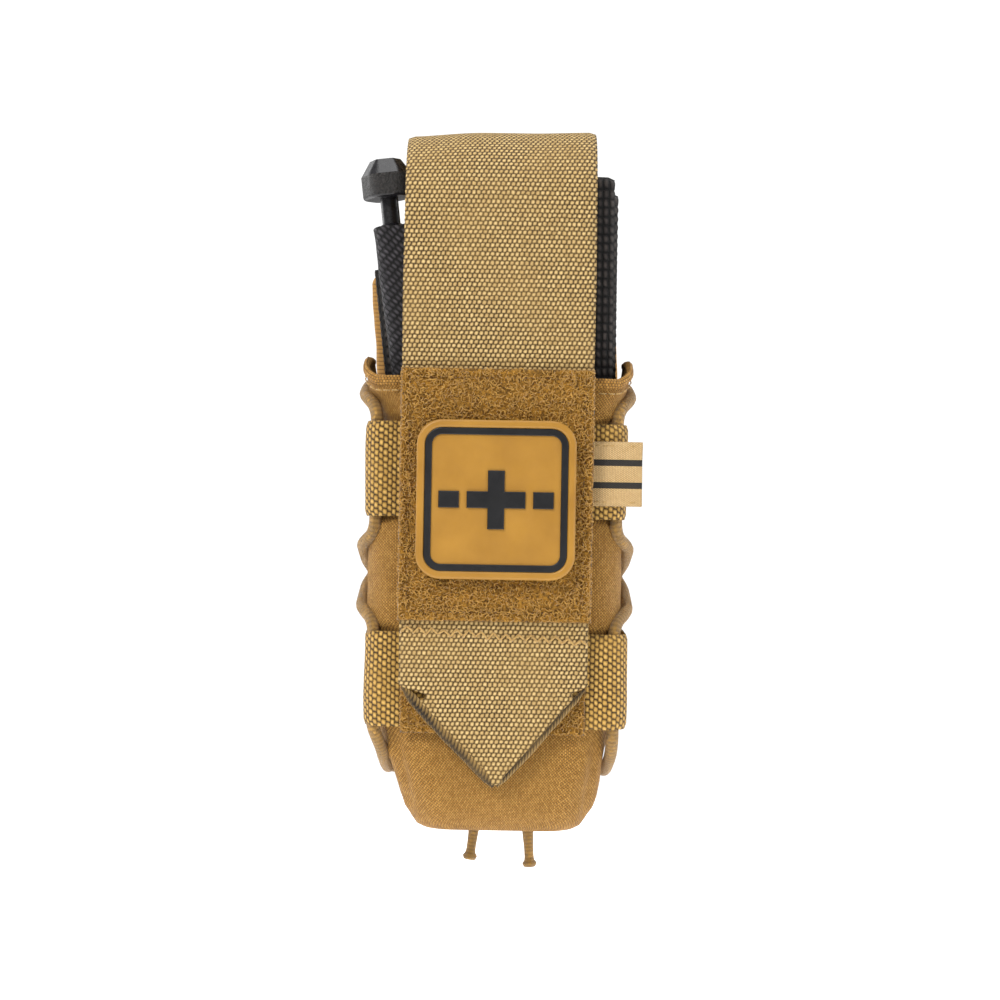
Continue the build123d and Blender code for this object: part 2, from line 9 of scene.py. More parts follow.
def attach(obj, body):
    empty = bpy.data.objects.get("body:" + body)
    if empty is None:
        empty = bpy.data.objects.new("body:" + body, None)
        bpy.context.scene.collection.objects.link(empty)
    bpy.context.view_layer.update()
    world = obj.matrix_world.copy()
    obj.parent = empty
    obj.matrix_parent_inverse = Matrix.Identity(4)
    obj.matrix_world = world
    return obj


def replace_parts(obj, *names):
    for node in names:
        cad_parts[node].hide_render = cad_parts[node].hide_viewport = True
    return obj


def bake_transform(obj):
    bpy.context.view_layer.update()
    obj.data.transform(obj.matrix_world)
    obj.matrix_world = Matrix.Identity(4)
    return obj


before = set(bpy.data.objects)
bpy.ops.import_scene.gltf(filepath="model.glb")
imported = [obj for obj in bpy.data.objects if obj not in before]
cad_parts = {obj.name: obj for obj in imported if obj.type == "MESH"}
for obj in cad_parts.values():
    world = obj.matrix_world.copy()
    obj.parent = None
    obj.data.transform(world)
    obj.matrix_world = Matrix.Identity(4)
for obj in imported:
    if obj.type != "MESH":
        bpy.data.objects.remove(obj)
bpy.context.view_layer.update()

# Shapes are laid out in the pouch's own axes, in millimetres: X to the right, -Y to the
# front and Z up from the pouch's floor. at() turns such a point into the frame, in metres.
MM = 0.001
SLOT_Y, SLOT_Z = 24.2, 82.0


def at(x, y, z):
    return Vector((x * MM, (y - SLOT_Y) * MM, (z - SLOT_Z) * MM))


# ---- node helpers
def feed(value, socket):
    if isinstance(value, Value):
        value.tree.links.new(value.socket, socket)
    else:
        socket.default_value = value


def mixed(tree, factor, first, second):
    node = tree.nodes.new("ShaderNodeMix")
    node.data_type = "RGBA"
    feed(factor, node.inputs[0])
    feed(first, node.inputs[6])
    feed(second, node.inputs[7])
    return Value(tree, node.outputs[2])


class Value:
    """A number, colour or vector in a material's nodes. Arithmetic with it adds nodes."""

    def __init__(self, tree, socket):
        self.tree, self.socket = tree, socket

    def math(self, operation, *others):
        node = self.tree.nodes.new("ShaderNodeMath")
        node.operation = operation
        for value, socket in zip((self, *others), node.inputs):
            feed(value, socket)
        return Value(self.tree, node.outputs[0])

    def __add__(self, other):
        return self.math("ADD", other)

    def __sub__(self, other):
        return self.math("SUBTRACT", other)

    def __mul__(self, other):
        return self.math("MULTIPLY", other)

    def __truediv__(self, other):
        return self.math("DIVIDE", other)

    def __pow__(self, other):
        return self.math("POWER", other)

    def humps(self, pitch):
        """One rounded hump for every pitch."""
        return (self * (pi / pitch)).math("SINE").math("ABSOLUTE")

    def ramp(self, low, high):
        """0 below low, 1 above high."""
        node = self.tree.nodes.new("ShaderNodeMapRange")
        feed(self, node.inputs[0])
        node.inputs[1].default_value = low
        node.inputs[2].default_value = high
        return Value(self.tree, node.outputs[0])

    def noise(self, scale, detail=2.0, roughness=0.5):
        """Noise over this vector."""
        node = self.tree.nodes.new("ShaderNodeTexNoise")
        feed(self, node.inputs["Vector"])
        node.inputs["Scale"].default_value = scale
        node.inputs["Detail"].default_value = detail
        node.inputs["Roughness"].default_value = roughness
        return Value(self.tree, node.outputs[0])

    def between(self, first, second):
        """The colour this far from the first to the second."""
        return mixed(self.tree, self, first, second)

    def toward(self, share, other):
        """This colour, a share of the way to the other."""
        return mixed(self.tree, share, self, other)


class Surface:
    """A material in the making: one principled shader, its colour and its relief."""

    def __init__(self, name, roughness, specular=0.5, sheen=0.0):
        self.material = bpy.data.materials.new(name)
        self.material.use_nodes = True
        self.tree = self.material.node_tree
        self.shader = self.tree.nodes["Principled BSDF"]
        self.set("Roughness", roughness)
        self.set("Specular IOR Level", specular)
        if sheen:
            self.set("Sheen Weight", sheen)
            self.set("Sheen Roughness", 0.45)

    def set(self, name, value):
        feed(value, self.shader.inputs[name])

    def millimetres(self, kind):
        """Texture coordinates of a kind, as one vector."""
        node = self.tree.nodes.new("ShaderNodeVectorMath")
        node.operation = "SCALE"
        self.tree.links.new(self.tree.nodes.new("ShaderNodeTexCoord").outputs[kind], node.inputs[0])
        node.inputs["Scale"].default_value = 1 / MM
        return Value(self.tree, node.outputs[0])

    def unwrapped(self):
        """The piece's own UV map: the vector, U and V."""
        together = self.millimetres("UV")
        apart = self.tree.nodes.new("ShaderNodeSeparateXYZ")
        feed(together, apart.inputs[0])
        return together, Value(self.tree, apart.outputs[0]), Value(self.tree, apart.outputs[1])

    def done(self, colour, height, depth):
        """Sets the colour and a bump of a depth in millimetres."""
        self.set("Base Color", colour)
        node = self.tree.nodes.new("ShaderNodeBump")
        node.inputs["Distance"].default_value = depth * MM
        node.inputs["Strength"].default_value = 1.0
        feed(height, node.inputs["Height"])
        self.tree.links.new(node.outputs[0], self.shader.inputs["Normal"])
        return self.material


def rgb(r, g, b):
    """A colour given as it looks on a screen, 0 to 255."""
    def linear(c):
        c = c / 255
        return c / 12.92 if c <= 0.04045 else ((c + 0.055) / 1.055) ** 2.4
    return (linear(r), linear(g), linear(b), 1.0)


def yarn_floats(u, v, pitch_u, pitch_v, shift=0.5, sharp=0.7, slant=0.0):
    """A weave's floats: columns of rounded bumps along V, every other column moved along.

    Gives their height and a number from 0 to 1 that differs from float to float."""
    column = (u / pitch_u).math("FLOOR")
    odd = (column + 1000.0).math("MODULO", 2.0)
    lean = (u / pitch_u).math("FRACT") * (slant * pitch_v)
    moved = v + lean + odd * (shift * pitch_v)
    row = (moved / pitch_v).math("FLOOR")
    height = (u.humps(pitch_u) ** 0.6 * moved.humps(pitch_v)) ** sharp
    tint = ((column * 12.9898 + row * 78.233).math("SINE") * 43758.5453).math("FRACT")
    return height, tint


# ---- materials
def webbing(name, light, dark, pitch_u, pitch_v, depth, shift=0.5, sharp=0.7, wobble=0.3,
            bright=None, slant=0.15):
    """Heavy nylon webbing. U runs across it, and its rows of floats lie along U."""
    surface = Surface(name, 0.72, 0.35, 0.05)
    together, u, v = surface.unwrapped()
    drift = together.noise(0.6, 3.0) - 0.5
    v = v + drift * (wobble * pitch_v * 2)
    u = u + drift * (wobble * pitch_u)
    height, tint = yarn_floats(v, u, pitch_v, pitch_u, shift, sharp, slant)
    height = height + (together.noise(5.0, 4.0, 0.75) - 0.5) * 0.7
    # Painted highlight: the bright colour laid on the tops of the floats, stronger on some floats than on
    # others.
    glint = height.ramp(0.5, 1.0) * tint.ramp(-0.6, 1.1)
    # Painted shade: the dark colour fills the gaps between the floats, where the weave dips.
    body = height.ramp(0.12, 0.85).between(dark, glint.between(light, bright or light))
    # Large random patches are lightened a little toward the light colour, over the painted shade and
    # highlight.
    faded_weave_with_painted_light = together.noise(0.06, 3.0).ramp(0.4, 0.8).between(body, body.toward(0.3, light))
    return surface.done(faded_weave_with_painted_light, height, depth)


def cordura(name, light, bright, dark, pitch=0.72):
    """Coarse plain weave with a thin coating's dull sheen."""
    surface = Surface(name, 0.7, 0.3, 0.03)
    together, u, v = surface.unwrapped()
    height, tint = yarn_floats(u, v, pitch, pitch * 1.15, 0.5, 0.6)
    height = height + together.noise(6.0, 2.0, 0.6) * 0.3
    yarn = (tint * 0.6).between(light, bright)
    # Painted shade: the dark colour fills the dips between the yarns; light and bright differ at random from
    # float to float.
    return surface.done(height.ramp(0.15, 0.95).between(dark, yarn), height, 0.22)


def pile(name, light, dark):
    """The fuzzy ground under the loops of hook-and-loop tape."""
    surface = Surface(name, 0.95, 0.15, 0.35)
    spot = surface.millimetres("Object")
    fine = spot.noise(1.7, 5.0, 0.75)
    body = fine.ramp(0.36, 0.66).between(dark, light)
    clumps = spot.noise(0.28, 3.0, 0.6).ramp(0.35, 0.7)
    return surface.done(clumps.between(body, body.toward(0.45, dark)), fine, 0.5)


def fibre(name, light, dark):
    """Thread and loose loop yarn."""
    surface = Surface(name, 0.6, 0.35, 0.3)
    spot = surface.millimetres("Object")
    return surface.done(spot.noise(1.1).between(dark, light), spot.noise(9.0), 0.05)


def rubber(name, light, dark, roughness=0.42):
    """Soft moulded rubber with a faint bloom and a fine matt grain."""
    surface = Surface(name, roughness, 0.45)
    spot = surface.millimetres("Object")
    bloom = spot.noise(0.09, 4.0).ramp(0.3, 0.75)
    surface.set("Roughness", spot.noise(0.5, 3.0) * 0.2 + (roughness - 0.1))
    return surface.done(bloom.between(light, dark), spot.noise(5.0, 3.0) + bloom * 0.6, 0.03)


def moulded(name, light, dark, grain, depth, roughness):
    """Moulded plastic, from satin to a rough cast-in grain."""
    surface = Surface(name, roughness)
    coarse = surface.millimetres("Object").noise(grain, 4.0, 0.65)
    surface.set("Roughness", coarse * 0.3 + (roughness - 0.15))
    return surface.done(coarse.ramp(0.4, 0.8).between(dark, light), coarse, depth)


def metal(name, colour):
    """Black oxide over brass, rubbed thin here and there."""
    surface = Surface(name, 0.35)
    surface.set("Metallic", 0.85)
    spot = surface.millimetres("Object")
    worn = spot.noise(0.7, 5.0, 0.7).ramp(0.62, 0.72)
    surface.set("Roughness", spot.noise(1.5, 3.0) * 0.3 + 0.22)
    return surface.done(worn.between(colour, rgb(96, 84, 62)), spot.noise(4.0, 3.0), 0.02)


def braid(name, light, dark, turns=7.0, pitch=2.1):
    """The sheath of shock cord: two sets of yarn wound opposite ways. U goes round, V along."""
    surface = Surface(name, 0.62, 0.35, 0.2)
    together, u, v = surface.unwrapped()
    around_it, along = u * (turns * 2 * pi), v * (2 * pi / pitch)
    crossing = (around_it + along).math("SINE") * (around_it - along).math("SINE")
    height = crossing * 0.5 + 0.5 + together.noise(3.0) * 0.2
    return surface.done(height.ramp(0.0, 0.8).between(dark, light), height, 0.12)


def woven_label(name):
    """Fine damask with two plain stripes along it. U runs up the label, V along it."""
    surface = Surface(name, 0.7, 0.3, 0.3)
    _, u, v = surface.unwrapped()
    height, tint = yarn_floats(v, u, 0.42, 0.55, 0.5, 0.6)
    cloth = height.ramp(0.1, 0.9).between(rgb(128, 102, 64), rgb(204, 170, 116))
    cloth = (tint * 0.2).between(cloth, rgb(234, 204, 156))
    stripes = u.math("COMPARE", -3.0, 0.85).math("MAXIMUM", u.math("COMPARE", 3.0, 0.85))
    thread = height.ramp(0.1, 0.9).between(rgb(16, 14, 12), rgb(46, 42, 38))
    return surface.done(stripes.between(cloth, thread), height, 0.1)


# In the webbing entries the second colour is painted shade in the gaps between floats, and bright is a
# painted highlight on their tops. The cordura entry's last colour is painted shade between its yarns.
M = {
    "flap": webbing("flap_webbing", rgb(182, 146, 84), rgb(44, 29, 11), 1.3, 1.16, 0.45,
                    bright=rgb(240, 210, 146)),
    "strap": webbing("side_webbing", rgb(182, 138, 60), rgb(38, 24, 7), 1.75, 1.15, 0.45,
                     bright=rgb(232, 190, 106)),
    "rear": webbing("rear_webbing", rgb(186, 148, 84), rgb(52, 36, 12), 1.55, 1.18, 0.4,
                    bright=rgb(210, 174, 110)),
    "tape": webbing("edge_tape", rgb(174, 130, 68), rgb(84, 56, 24), 9.0, 1.15, 0.25, 0.0, 0.5, 0.1,
                    slant=0.0),
    "cordura": cordura("coated_nylon", rgb(156, 110, 42), rgb(206, 156, 78), rgb(40, 25, 6)),
    "roll": webbing("rolled_webbing", rgb(200, 160, 92), rgb(26, 16, 6), 3.0, 1.15, 0.9, 0.0, 0.8, 0.15,
                    bright=rgb(240, 206, 140)),
    "pile": pile("loop_pile", rgb(206, 150, 56), rgb(62, 40, 10)),
    "loops": fibre("loop_yarn", rgb(216, 166, 74), rgb(130, 92, 32)),
    "thread": fibre("sewing_thread", rgb(208, 172, 104), rgb(140, 104, 50)),
    "hook": moulded("hook_tape", rgb(150, 116, 62), rgb(80, 58, 26), 2.4, 0.4, 0.6),
    "sheet": moulded("stiffener_sheet", rgb(150, 124, 84), rgb(128, 104, 68), 1.2, 0.05, 0.55),
    "cord": braid("shock_cord_sheath", rgb(180, 138, 68), rgb(120, 86, 38)),
    "patch": rubber("coyote_rubber", rgb(168, 122, 42), rgb(150, 106, 33)),
    "ink": rubber("black_rubber", rgb(26, 26, 28), rgb(12, 12, 14), 0.36),
    "label": woven_label("woven_label_cloth"),
    "metal": metal("blackened_metal", rgb(34, 33, 32)),
    "band": webbing("black_band", rgb(30, 27, 27), rgb(2, 2, 2), 1.7, 2.4, 0.6, 0.0, 0.8, 0.25,
                    bright=rgb(92, 84, 80)),
    "wrap": webbing("black_webbing", rgb(36, 34, 38), rgb(3, 3, 4), 1.25, 2.2, 0.5, 0.5, 0.8, 0.1,
                    bright=rgb(88, 84, 90)),
    "plastic": moulded("black_plastic", rgb(36, 35, 39), rgb(16, 15, 18), 1.1, 0.04, 0.3),
    "knob": moulded("rough_black_plastic", rgb(58, 52, 50), rgb(2, 2, 2), 1.5, 0.7, 0.45),
}


# ---- mesh helpers
def make_piece(name, points, faces, material, uv=None, body=None):
    """A mesh from points in pouch millimetres. uv holds one pair for each point, in millimetres."""
    mesh = bpy.data.meshes.new(name)
    mesh.from_pydata([at(*p) for p in points], [], faces)
    shape = bmesh.new()
    shape.from_mesh(mesh)
    bmesh.ops.recalc_face_normals(shape, faces=shape.faces)
    shape.to_mesh(mesh)
    shape.free()
    if uv:
        layer = mesh.uv_layers.new(name="UVMap").data
        for loop in mesh.loops:
            u, v = uv[loop.vertex_index]
            layer[loop.index].uv = (u * MM, v * MM)
    mesh.shade_smooth()
    mesh.materials.append(M[material])
    obj = bpy.data.objects.new(name, mesh)
    bpy.context.scene.collection.objects.link(obj)
    if body:
        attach(obj, body)
    return obj


def grid_faces(rows, columns, close_columns=False):
    """Quads between rows of points, row after row."""
    faces = []
    last = columns if close_columns else columns - 1
    for i in range(rows - 1):
        for j in range(last):
            a = i * columns + j
            b = i * columns + (j + 1) % columns
            faces.append((a, b, b + columns, a + columns))
    return faces


def smoothstep(a, b, x):
    """0 at a, 1 at b and smooth between. Where a is more than b, it falls."""
    t = min(max((x - a) / (b - a), 0.0), 1.0)
    return t * t * (3 - 2 * t)


def wave(x, y, z, scale, seed=0.0):
    """Smooth noise from -1 to 1 over a distance of about scale millimetres."""
    return noise.noise(Vector((x / scale + seed, y / scale, z / scale)))


class Line:
    """A path in pouch millimetres with a normal at each point, for webbing to follow."""

    def __init__(self, points, normals, across):
        self.points = [Vector(p) for p in points]
        self.normals = [Vector(n).normalized() for n in normals]
        self.across = [Vector(a).normalized() for a in across]
        self.lengths = [0.0]
        for a, b in zip(self.points, self.points[1:]):
            self.lengths.append(self.lengths[-1] + (b - a).length)


def flat_line(plane, corners, radii=(), step=1.0, at_x=0.0):
    """A line with rounded corners in "yz" or "xy". Its normal is on the right of the way it goes."""
    points = rounded(corners, radii, step)
    spots, normals = [], []
    for i, (p, q) in enumerate(points):
        a, b = points[max(i - 1, 0)], points[min(i + 1, len(points) - 1)]
        right = (b[1] - a[1], a[0] - b[0])
        spots.append((at_x, p, q) if plane == "yz" else (p, q, 0))
        normals.append((0, *right) if plane == "yz" else (*right, 0))
    across = (1, 0, 0) if plane == "yz" else (0, 0, 1)
    return Line(spots, normals, [across] * len(points))


def straight(spots, normal=(0, -1, 0), across=(1, 0, 0)):
    """A straight line through given points."""
    return Line(spots, [normal] * len(spots), [across] * len(spots))


def rounded(corners, radii, step):
    """Evenly spaced points on a flat polyline whose corners are arcs."""
    pieces = [Vector(corners[0])]
    for before, corner, after, radius in zip(corners, corners[1:], corners[2:], radii):
        before, corner, after = Vector(before), Vector(corner), Vector(after)
        d1, d2 = (corner - before).normalized(), (after - corner).normalized()
        turn = d1.angle(d2)
        if turn < 1e-4:
            continue
        cut = radius * (1 - cos(turn)) / sin(turn)
        side = 1 if d1.x * d2.y - d1.y * d2.x > 0 else -1
        start = corner - d1 * cut
        centre = start + Vector((-d1.y, d1.x)) * radius * side
        steps = max(3, ceil(radius * turn / step))
        spoke = start - centre
        for i in range(steps + 1):
            angle = side * turn * i / steps
            turned = Vector((spoke.x * cos(angle) - spoke.y * sin(angle),
                             spoke.x * sin(angle) + spoke.y * cos(angle)))
            pieces.append(centre + turned)
    pieces.append(Vector(corners[-1]))
    dense = [pieces[0]]
    for a, b in zip(pieces, pieces[1:]):
        length = (b - a).length
        if length < 1e-6:
            continue
        parts = max(1, round(length / step))
        dense += [a.lerp(b, k / parts) for k in range(1, parts + 1)]
    return [(p.x, p.y) for p in dense]


def ribbon(name, line, half_width, thickness, material, body=None, columns=20, edge=0.35,
           lift=None, relief=None, v_start=0.0, middle=0.0):
    """Webbing along a line, with rounded selvedges.

    half_width and middle are numbers or functions of the length; half_width may give (left, right).
    lift(across, length) moves both faces along the normal; relief(across, length, face) thickens
    one of them, the outer face being 1 and the inner one -1. All in millimetres."""
    points, uv = [], []
    count = 2 * (columns + 1)
    for point, normal, across, length in zip(line.points, line.normals, line.across, line.lengths):
        half = half_width(length) if callable(half_width) else half_width
        left, right = half if isinstance(half, tuple) else (half, half)
        shift = middle(length) if callable(middle) else middle
        for face in (1, -1):
            order = range(columns + 1) if face == 1 else range(columns, -1, -1)
            for j in order:
                share = j / columns
                c = -left + share * (left + right)
                inset = min(c + left, right - c)
                round_off = smoothstep(0, thickness * 0.6, inset)
                depth = thickness / 2 * (edge + (1 - edge) * round_off)
                if relief:
                    depth += relief(c, length, face)
                rise = lift(c, length) if lift else 0.0
                points.append(point + across * (c + shift) + normal * (face * depth + rise))
                uv.append((c + (0 if face == 1 else 200), length + v_start))
    rows = len(line.points)
    faces = grid_faces(rows, count, True)
    for row, flip in ((0, True), (rows - 1, False)):
        for j in range(columns):
            a, b = row * count + j, row * count + j + 1
            c, d = row * count + count - 2 - j, row * count + count - 1 - j
            faces.append((a, d, c, b) if flip else (a, b, c, d))
    return make_piece(name, points, faces, material, uv, body)


def tube(points, radii, sides=12, closed_ends=True):
    """Points, faces and uv of a round tube through 3D points."""
    points = [Vector(p) for p in points]
    normal = None
    rings, uv, length = [], [], 0.0
    for i, p in enumerate(points):
        tangent = (points[min(i + 1, len(points) - 1)] - points[max(i - 1, 0)]).normalized()
        if normal is None:
            normal = tangent.orthogonal().normalized()
        normal = (normal - tangent * normal.dot(tangent)).normalized()
        other = tangent.cross(normal)
        if i:
            length += (p - points[i - 1]).length
        radius = radii[i] if isinstance(radii, (list, tuple)) else radii
        for k in range(sides + 1):
            angle = 2 * pi * k / sides
            rings.append(p + (normal * cos(angle) + other * sin(angle)) * radius)
            uv.append((1000.0 * k / sides, length))
    faces = grid_faces(len(points), sides + 1)
    if closed_ends:
        for row in (0, len(points) - 1):
            ring = [row * (sides + 1) + k for k in range(sides)]
            faces.append(tuple(ring if row else reversed(ring)))
    return rings, faces, uv


def many(name, parts, material, body):
    """One piece made of several (points, faces) shapes."""
    points, faces = [], []
    for part_points, part_faces in parts:
        base = len(points)
        points += part_points
        faces += [tuple(base + i for i in face) for face in part_faces]
    return make_piece(name, points, faces, material, None, body)


def stitch(a, b, radius=0.2, rise=0.12, normal=(0, -1, 0)):
    """One stitch of thread between two points, a little proud in the middle."""
    a, b, n = Vector(a), Vector(b), Vector(normal)
    path = [a - n * radius, a.lerp(b, 0.2) + n * rise, a.lerp(b, 0.8) + n * rise, b - n * radius]
    points, faces, _ = tube(path, radius, 6)
    return points, faces


def stitch_row(start, end, pitch=2.6, gap=0.6, radius=0.2, normal=(0, -1, 0), seed=1, jitter=0.12):
    """Lockstitch along a straight line."""
    rng = random.Random(seed)
    start, end = Vector(start), Vector(end)
    count = max(1, round((end - start).length / pitch))
    direction = (end - start) / count
    parts = []
    for i in range(count):
        shake = Vector([rng.uniform(-jitter, jitter) for _ in range(3)])
        a = start + direction * i + shake
        b = start + direction * (i + 1) - direction.normalized() * gap + shake * 0.4
        parts.append(stitch(a, b, radius, 0.12, normal))
    return parts


def paint(node, material):
    """Gives a CAD node one of the materials."""
    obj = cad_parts[node]
    obj.data.materials.clear()
    obj.data.materials.append(M[material])
    for slot in obj.material_slots:
        slot.link = "DATA"
    return obj


# ---- camera, light and floor
def set_the_scene():
    """A level view from the front, even studio light and a white floor."""
    camera = bpy.data.objects.new("camera", bpy.data.cameras.new("camera"))
    camera.data.lens = 72.9
    camera.data.sensor_width = 36.0
    camera.data.clip_start = 0.01
    level = Matrix.Rotation(pi / 2, 4, "X")
    roll = Matrix.Rotation(radians(1.0), 4, "Z")
    camera.matrix_world = Matrix.Translation(at(1.05, -560, 89)) @ level @ roll
    bpy.context.scene.collection.objects.link(camera)
    bpy.context.scene.camera = camera

    world = bpy.data.worlds.new("world")
    world.use_nodes = True
    tree = world.node_tree
    background = tree.nodes["Background"]
    background.inputs["Color"].default_value = (1, 1, 1, 1)
    seen = Value(tree, tree.nodes.new("ShaderNodeLightPath").outputs["Is Camera Ray"])
    feed(seen * 0.8 + 0.32, background.inputs["Strength"])
    bpy.context.scene.world = world
    bpy.context.scene.view_settings.view_transform = "Standard"

    def softbox(name, place, size, power, colour=(1, 1, 1)):
        light = bpy.data.lights.new(name, "AREA")
        light.size, light.energy, light.color = size, power, colour
        obj = bpy.data.objects.new(name, light)
        obj.location = at(*place)
        aim = at(0, 0, 92) - obj.location
        obj.rotation_euler = aim.to_track_quat("-Z", "Y").to_euler()
        bpy.context.scene.collection.objects.link(obj)

    softbox("key", (-420, -620, 620), 0.3, 6.0, (1.0, 0.98, 0.94))
    softbox("fill", (620, -520, 260), 0.5, 2.1)
    softbox("rim_left", (-560, 330, 260), 0.5, 2.3)
    softbox("rim_right", (560, 330, 300), 0.5, 2.3)
    softbox("top", (0, -60, 760), 0.5, 2.5)

    reach, floor_z = 460, -60
    corners = [at(x * reach, y * reach, floor_z) for x, y in ((-1, -1), (1, -1), (1, 1), (-1, 1))]
    floor_mesh = bpy.data.meshes.new("floor")
    floor_mesh.from_pydata(corners, [], [(0, 1, 2, 3)])
    paper = bpy.data.materials.new("floor_paper")
    paper.use_nodes = True
    shader = paper.node_tree.nodes["Principled BSDF"]
    shader.inputs["Base Color"].default_value = (0.95, 0.95, 0.95, 1)
    shader.inputs["Roughness"].default_value = 0.9
    shader.inputs["Emission Color"].default_value = (1, 1, 1, 1)
    shader.inputs["Emission Strength"].default_value = 0.75
    floor_mesh.materials.append(paper)
    floor_piece = bpy.data.objects.new("floor", floor_mesh)
    bpy.context.scene.collection.objects.link(floor_piece)


# ---- flap
FLAP_HALF = 25.4
FRONT_START = 0.4                  # where the arch is parted between its two bends, in Y
LIFT_HINGE = Vector((0, 17.4228, 182.6274))
UNFOLD_HINGE = Vector((0, -21.7865, 178.2))
TAB_TOP, TAB_TIP = 40.2, 13.7
WEFT = 1.3                         # picks of the flap webbing, along its length


def around(hinge, direction, reach):
    """Two points in the frame, before and after a hinge along the webbing."""
    step = Vector(direction).normalized() * reach
    return at(*(hinge - step)), at(*(hinge + step))


def picks(length, pitch, depth):
    """The small bumps that each pick of weft leaves on a selvedge."""
    return depth * abs(sin(pi * length / pitch))


def droop(c):
    """The arch leans a little: its left side hangs lower than its right."""
    return 0.5 * smoothstep(8, 26, c) - 1.4 * smoothstep(3, 26, -c) ** 1.2


def bell(x, middle, reach):
    """1 at the middle, falling to 0 within reach."""
    return smoothstep(reach, 0, abs(x - middle))


def tab_half(z):
    """The flap's half width at a height: full down to the tab, then nearly to a point."""
    if z > TAB_TOP:
        return FLAP_HALF
    t = (TAB_TOP - z) / (TAB_TOP - TAB_TIP)
    return 1.3 + (FLAP_HALF - 1.3) * (1 - t ** 1.06)


def flap():
    """The flap strap, parted between its two bends, with its tab and tape."""
    back = flat_line("yz", [(21.4, 132.0), (21.4, 188.7), (FRONT_START, 188.7)], [17], 0.45)
    swell = lambda c, s: 0.18 * wave(c, s, 0, 26, 3.0) + droop(c) * smoothstep(48, 70, s)
    arch = ribbon("flap_arch", back, lambda s: FLAP_HALF - 0.1 + picks(s, WEFT, 0.18), 1.6, "flap",
                  columns=26, lift=swell)
    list(around(LIFT_HINGE, (0, -0.643, 0.766), 9.0))
    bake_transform(arch)
    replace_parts(arch, "flap_root_strap", "flap_top_strap")

    front = flat_line("yz", [(FRONT_START, 188.7), (-24.6, 188.7), (-24.6, TAB_TIP)], [21], 0.45)
    start = back.lengths[-1]

    def height(s):
        """Z on the straight part of the front run, from the length along it."""
        return TAB_TIP + front.lengths[-1] - s

    def half(s):
        z = height(s)
        if z > 165:
            return FLAP_HALF - 0.1 + picks(s + start, WEFT, 0.18)
        slack = 0.35 * sin((z - 40) / 125 * pi * 3) if z > 45 else 0.0
        edge = tab_half(z) + picks(s + start, WEFT, 0.18 if z > TAB_TOP else 0.08) - 0.1
        tuck = smoothstep(TAB_TOP, 36, z) * smoothstep(TAB_TIP, 17, z)
        skew = 1.0 * smoothstep(36, 15, z)
        taper = 0.5 * smoothstep(120, 50, z) * smoothstep(36, 44, z)
        return (edge + slack * 0.4 - 1.6 * tuck - 3.8 * bell(z, 37.2, 2.4) - skew - taper,
                edge + slack * 0.3 - 0.8 * tuck - 2.2 * bell(z, 38.2, 1.9) + skew - taper)

    def pulled(c, s):
        z = height(s)
        into_join = smoothstep(0, 20, s)
        seat = 0.25 * smoothstep(132, 124, z) * smoothstep(50, 56, z)
        belly = 0.5 * smoothstep(128, 150, z) * smoothstep(175, 160, z) * cos(c / FLAP_HALF * 1.2)
        plain = into_join * (0.2 * wave(c, s, 0, 24, 9.0) + belly - seat)
        joined = 0.18 * wave(c, s + start, 0, 26, 3.0)
        return plain + (1 - into_join) * joined + droop(c) * smoothstep(46, 12, s)

    run = ribbon("flap_front", front, half, 1.6, "flap", columns=30, lift=pulled, v_start=start)
    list(around(UNFOLD_HINGE, (0, -0.5, -0.866), 9.0))
    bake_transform(run)
    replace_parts(run, "flap_front_strap")
    tab_fold()
    flap_loops()


def tab_fold():
    """The corners of the webbing, turned in behind the tab: their rolled edges show along the V."""
    zs = [12.9 + i * 0.5 for i in range(int((53.0 - 12.9) / 0.5))]
    line = straight([(0, -22.95, z) for z in reversed(zs)])

    inner = lambda s: max(min(tab_half(zs[-1] - s) - 1.1, FLAP_HALF - 0.5), 0.6)
    fold = ribbon("tab_fold", line, inner, 1.0, "strap", "flap_front", columns=44)
    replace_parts(fold, "pull_tab_fold")
    for side, radius, name in ((-1, 1.45, "left"), (1, 0.9, "right")):
        path, radii, count = [], [], 90
        for i in range(count + 1):
            t = i / count
            z = 39.4 - t * (39.4 - 13.3)
            x = side * (tab_half(min(z, TAB_TOP - 0.4)) - radius * 0.55 + 0.25 * wave(0, 0, z, 5, side))
            x += smoothstep(36, 15, z)
            path.append((x, -24.15 - 0.5 * sin(pi * t), z))
            radii.append(radius * (0.45 + 0.55 * smoothstep(0, 0.16, t) * smoothstep(1.02, 0.9, t))
                         * (1 + 0.12 * wave(0, z, 0, 3, 4.0)))
        points, faces, uv = tube(path, radii, 16)
        uv = [(u * 0.003, v + u * 0.0055 * side) for u, v in uv]
        roll = make_piece("tab_roll_" + name, points, faces, "roll", uv, "flap_front")
    rng = random.Random(11)
    parts = []
    z_left, z_right, count = 54.4, 51.6, 15
    for i in range(count):
        x0 = -24.6 + i * 49.2 / count
        x1 = x0 + 49.2 / count
        z0 = z_left + (z_right - z_left) * i / count
        low, high, end = rng.uniform(-1.1, -0.4), rng.uniform(0.5, 1.2), rng.uniform(-1.1, -0.4)
        peak = ((x0 + x1) / 2, -25.5, z0 + high)
        parts += [stitch((x0, -25.5, z0 + low), peak, 0.3), stitch(peak, (x1, -25.5, z0 + end), 0.3)]
    row = many("tab_stitches", parts, "thread", "flap_front")


